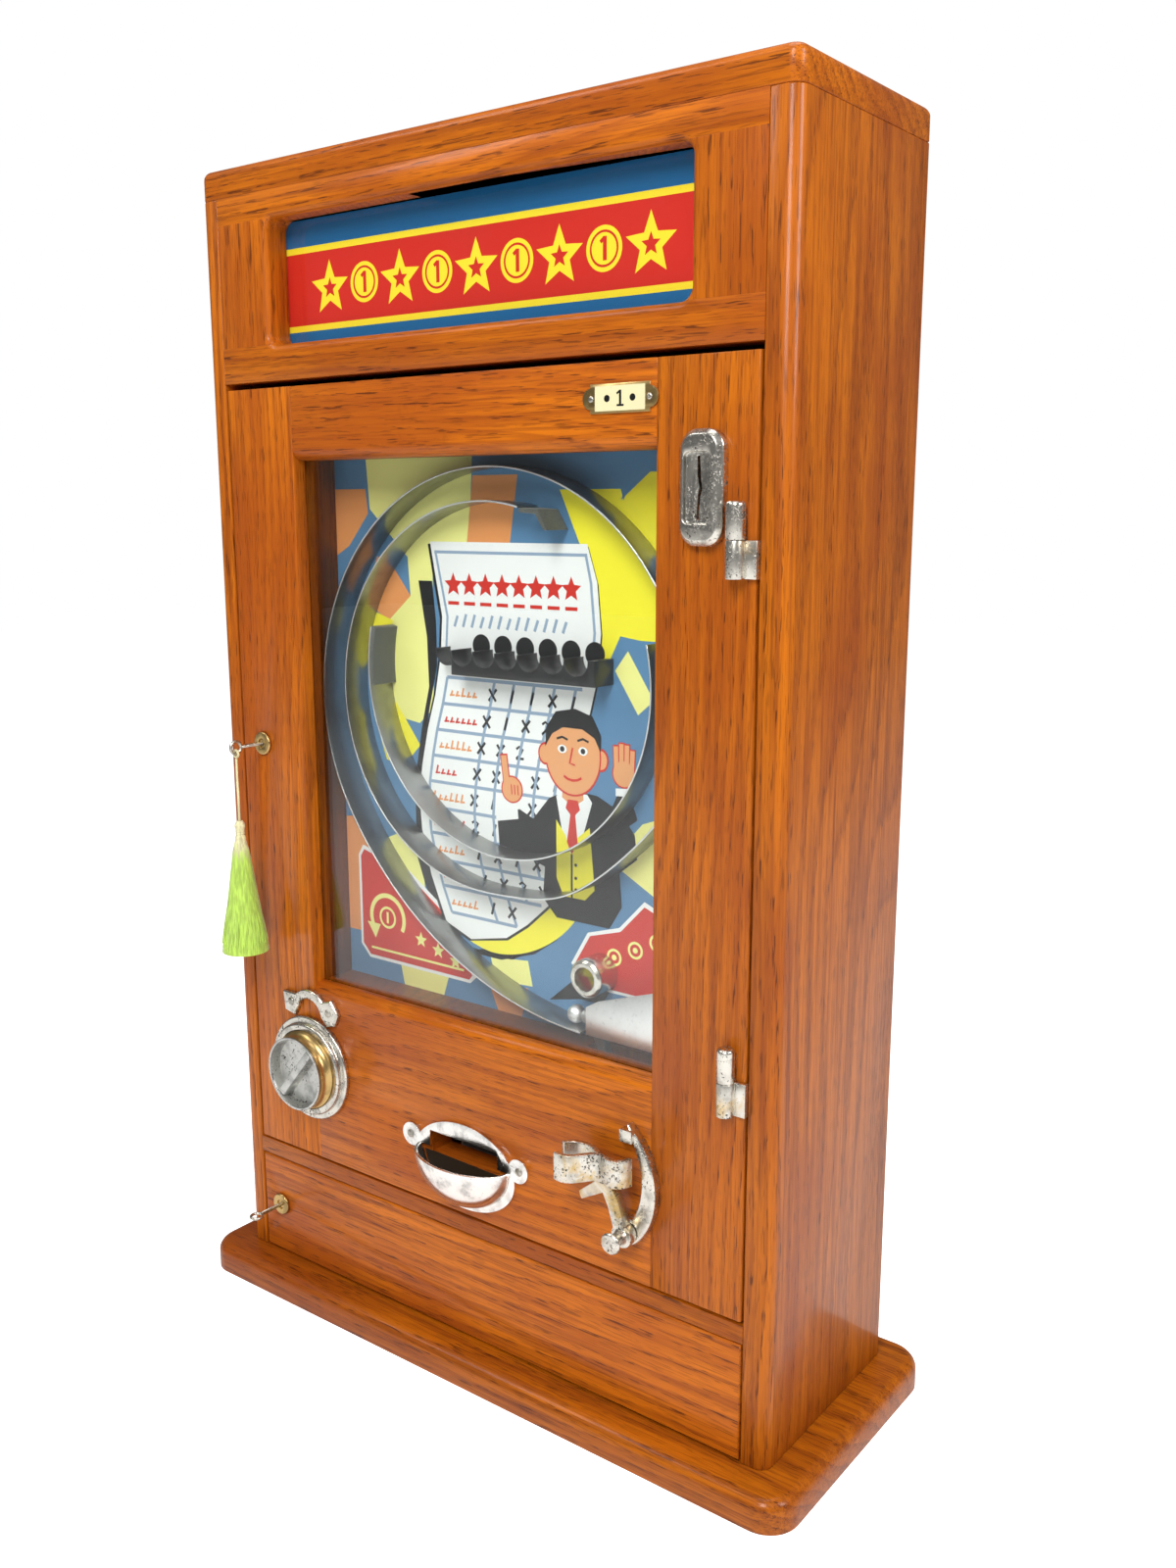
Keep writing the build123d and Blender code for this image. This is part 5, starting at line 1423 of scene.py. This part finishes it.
# Mechanism behind the playfield
class MACHINE_OT_mechanism(bpy.types.Operator):
    """Gives the inner mechanism its metals"""

    bl_idname = "machine.mechanism"
    bl_label = "Inner Mechanism"

    def execute(self, context):
        tin = ("tinplate", plain_metal, (0.55, 0.55, 0.53), 0.35)
        iron = ("black_iron", plain_metal, (0.05, 0.05, 0.053), 0.5, 0.8, 0.4)
        steel = ("mild_steel", plain_metal, (0.42, 0.41, 0.40), 0.34)
        yellow = ("yellow_brass", plain_metal, (0.55, 0.39, 0.15), 0.3)
        finishes = {
            tin: ("coin_chute", "cash_tray", "ball_return", "payout_chute"),
            iron: ("payout_cam", "slide_bed"),
            steel: ("payout_slide", "hammer"),
            yellow: ("coin_tube", "mechanism_posts", "trigger_gear"),
            ("pane_glass", pane_glass): ("door_glass",),
        }
        for finish, nodes in finishes.items():
            for node in nodes:
                coat(node, material_named(*finish))
        self.spring(material_named(*steel))
        return DONE

    def spring(self, steel):
        """The trigger's coiled return spring."""
        low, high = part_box("trigger_spring")
        centre = (low + high) / 2
        wire = 0.55 * MM
        radius = (high.x - low.x) / 2 - wire
        coils, steps = 11, 16
        count = coils * steps
        length = (high.z - low.z) - 2 * wire
        rings = []
        circle = turns(8)
        up = Vector((0, 0, 1))
        for k in range(count + 1):
            angle = 2 * math.pi * k / steps
            outward = Vector((math.cos(angle), math.sin(angle), 0))
            heart = Vector((centre.x, centre.y, low.z + wire + length * k / count)) + radius * outward
            rings.append([heart + wire * (c * outward + s * up) for c, s in circle])
        mesh = lofted("trigger_spring_coil", rings, steel)
        new_piece(mesh.name, mesh, "door", ("trigger_spring",), 80)


# Tassel
class MACHINE_OT_tassel(bpy.types.Operator):
    """Hangs the tassel on the door key: a cord, a bound head and a skirt of strands"""

    bl_idname = "machine.tassel"
    bl_label = "Tassel"

    def execute(self, context):
        look = context.scene.machine_tassel
        cream = material_named("yarn_cream", yarn, look.cream)
        low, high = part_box("tassel")
        dressed("tassel_loop", cream)
        top = high.z - HEAD_DEPTH
        span = (top - 4 * MM, top - 20 * MM)
        lime = material_named("yarn_lime", yarn, look.cream, look.lime, span)
        centre = (low + high) / 2
        head = self.head(cream, centre, high.z)
        coat("tassel", lime)
        length = top - low.z
        neck = 2.6 * MM
        values = {
            "Strands": look.strands,
            "Length": length,
            "Slope": ((high.x - low.x) / 2 - look.strand_radius - neck) / length,
            "Neck Radius": neck,
            "Strand Radius": look.strand_radius,
            "Seed": look.seed,
            "Top": (centre.x, centre.y, top),
            "Material": lime,
        }
        strands = grown("tassel_skirt", tassel_skirt_tree(), values)
        new_piece("tassel_skirt", strands, "tassel", (), 80)
        self.cord(cream, head)
        return DONE

    def cord(self, cream, head):
        """The cord from the key's loop to the tassel's head."""
        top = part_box("tassel_cord")[1].z
        curve = bpy.data.curves.new("tassel_cord_yarn", "CURVE")
        curve.dimensions = "3D"
        line = curve.splines.new("NURBS")
        line.points.add(len(TASSEL_ROUTE) - 1)
        for point, (x, depth, drop) in zip(line.points, TASSEL_ROUTE):
            point.co = (x * MM, FACE_Y + depth * MM, top + drop * MM, 1.0)
        line.order_u = 3
        line.use_endpoint_u = True
        line.resolution_u = 8
        curve.bevel_depth = 0.9 * MM
        curve.bevel_resolution = 3
        curve.use_fill_caps = True
        curve.materials.append(cream)
        cord = placed("tassel_cord_yarn", curve)
        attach(cord, "tassel")
        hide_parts("tassel_cord")

    def head(self, cream, centre, top):
        """A turned head wound with thread and bound at the neck."""
        rings = []
        for radius, down in HEAD_PROFILE:
            ring = []
            for k, (c, s) in enumerate(turns(36)):
                ridge = 0.12 * math.cos(2 * math.pi * k / 3) if down < 6 else 0.0
                reach = (radius + ridge) * MM
                ring.append((centre.x + reach * c, centre.y + reach * s, top - down * MM))
            rings.append(ring)
        mesh = lofted("tassel_head", rings, cream)
        return new_piece("tassel_head", mesh, "tassel", (), 60)


# Stage
class MACHINE_OT_stage(bpy.types.Operator):
    """Sets the pale floor, the soft lamps and the camera"""

    bl_idname = "machine.stage"
    bl_label = "Stage"

    def execute(self, context):
        scene = context.scene
        look = scene.machine_stage
        self.floor(look)
        world = bpy.data.worlds.new("surround")
        world.use_nodes = True
        sky = next(n for n in world.node_tree.nodes if n.type == "BACKGROUND")
        strength = self.seen(world.node_tree, look.sky, 1.0)
        feed(world.node_tree, sky, {"Color": WHITE, "Strength": strength})
        scene.world = world
        scene.view_settings.view_transform = "Standard"
        target = (cad_low + cad_high) / 2
        lamps = (
            ("key_lamp", (0.7, -1.8, 1.9), 1.1, look.key),
            ("fill_lamp", (-1.5, -1.3, 2.5), 1.2, look.fill),
            ("side_lamp", (2.0, -0.1, 1.7), 1.0, look.side),
            ("top_lamp", (0.0, 0.2, 2.6), 1.6, look.fill),
        )
        for name, place, size, power in lamps:
            lamp = bpy.data.lights.new(name, "AREA")
            lamp.shape = "RECTANGLE"
            lamp.size = size * 0.6
            lamp.size_y = size
            lamp.energy = power
            holder = placed(name, lamp)
            holder.location = place
            holder.rotation_euler = (target - Vector(place)).to_track_quat("-Z", "Y").to_euler()
        camera = bpy.data.cameras.new("camera")
        camera.lens = look.lens
        camera.sensor_width = 36.0
        holder = placed("camera", camera)
        holder.location = CAMERA_PLACE
        holder.rotation_euler = [math.radians(angle) for angle in CAMERA_TURN]
        scene.camera = holder
        return DONE

    def seen(self, tree, lit, seen):
        """A strength that differs between what lights the object and what the camera sees."""
        ray = put(tree, "ShaderNodeLightPath").outputs["Is Camera Ray"]
        limits = {"Value": ray, "To Min": lit, "To Max": seen}
        return put(tree, "ShaderNodeMapRange", limits).outputs["Result"]

    def floor(self, look):
        """The pale floor."""
        form = bmesh.new()
        bmesh.ops.create_grid(form, x_segments=8, y_segments=8, size=6.0)
        material, tree, shader = bare_material("stage_floor")
        cloud = noise(tree, object_vector(tree), 1.5, 2.0, 0.5)
        pale = look.floor_colour
        inputs = {
            "Base Color": stained(tree, tint(pale), cloud, 0.1, tint(pale, 0.96)),
            "Roughness": 0.9,
            "Emission Color": WHITE,
            "Emission Strength": self.seen(tree, look.floor_glow, 0.88),
        }
        feed(tree, shader, inputs)
        floor = placed("stage_floor", mesh_from("stage_floor", form, material))
        floor.location.z = cad_low.z


OPERATORS = (
    MACHINE_OT_case_boards,
    MACHINE_OT_header,
    MACHINE_OT_door_frame,
    MACHINE_OT_name_panel,
    MACHINE_OT_playfield_print,
    MACHINE_OT_ball_tracks,
    MACHINE_OT_fittings,
    MACHINE_OT_mechanism,
    MACHINE_OT_tassel,
    MACHINE_OT_stage,
)


class MACHINE_PT_panel(bpy.types.Panel):
    """Lists the machine's pieces and settings"""

    bl_idname = "MACHINE_PT_panel"
    bl_label = "Oak Ball Flick Machine"
    bl_space_type = "VIEW_3D"
    bl_region_type = "UI"
    bl_category = "Machine"

    def draw(self, context):
        layout = self.layout
        for operator in OPERATORS:
            layout.operator(operator.bl_idname)
        for label in SETTINGS:
            group = getattr(context.scene, label)
            box = layout.box()
            for field in group.bl_rna.properties:
                if field.identifier not in ("rna_type", "name"):
                    box.prop(group, field.identifier)


def register():
    """Registers the settings, operators and panel."""
    for label, group in SETTINGS.items():
        bpy.utils.register_class(group)
        setattr(bpy.types.Scene, label, PointerProperty(type=group))
    for operator in OPERATORS:
        bpy.utils.register_class(operator)
    bpy.utils.register_class(MACHINE_PT_panel)


def unregister():
    """Takes back what register added."""
    bpy.utils.unregister_class(MACHINE_PT_panel)
    for operator in reversed(OPERATORS):
        bpy.utils.unregister_class(operator)
    for label, group in SETTINGS.items():
        delattr(bpy.types.Scene, label)
        bpy.utils.unregister_class(group)


def main():
    """Builds every piece in order."""
    register()
    for operator in OPERATORS:
        family, action = operator.bl_idname.split(".")
        getattr(getattr(bpy.ops, family), action)()


if __name__ == "__main__":
    main()
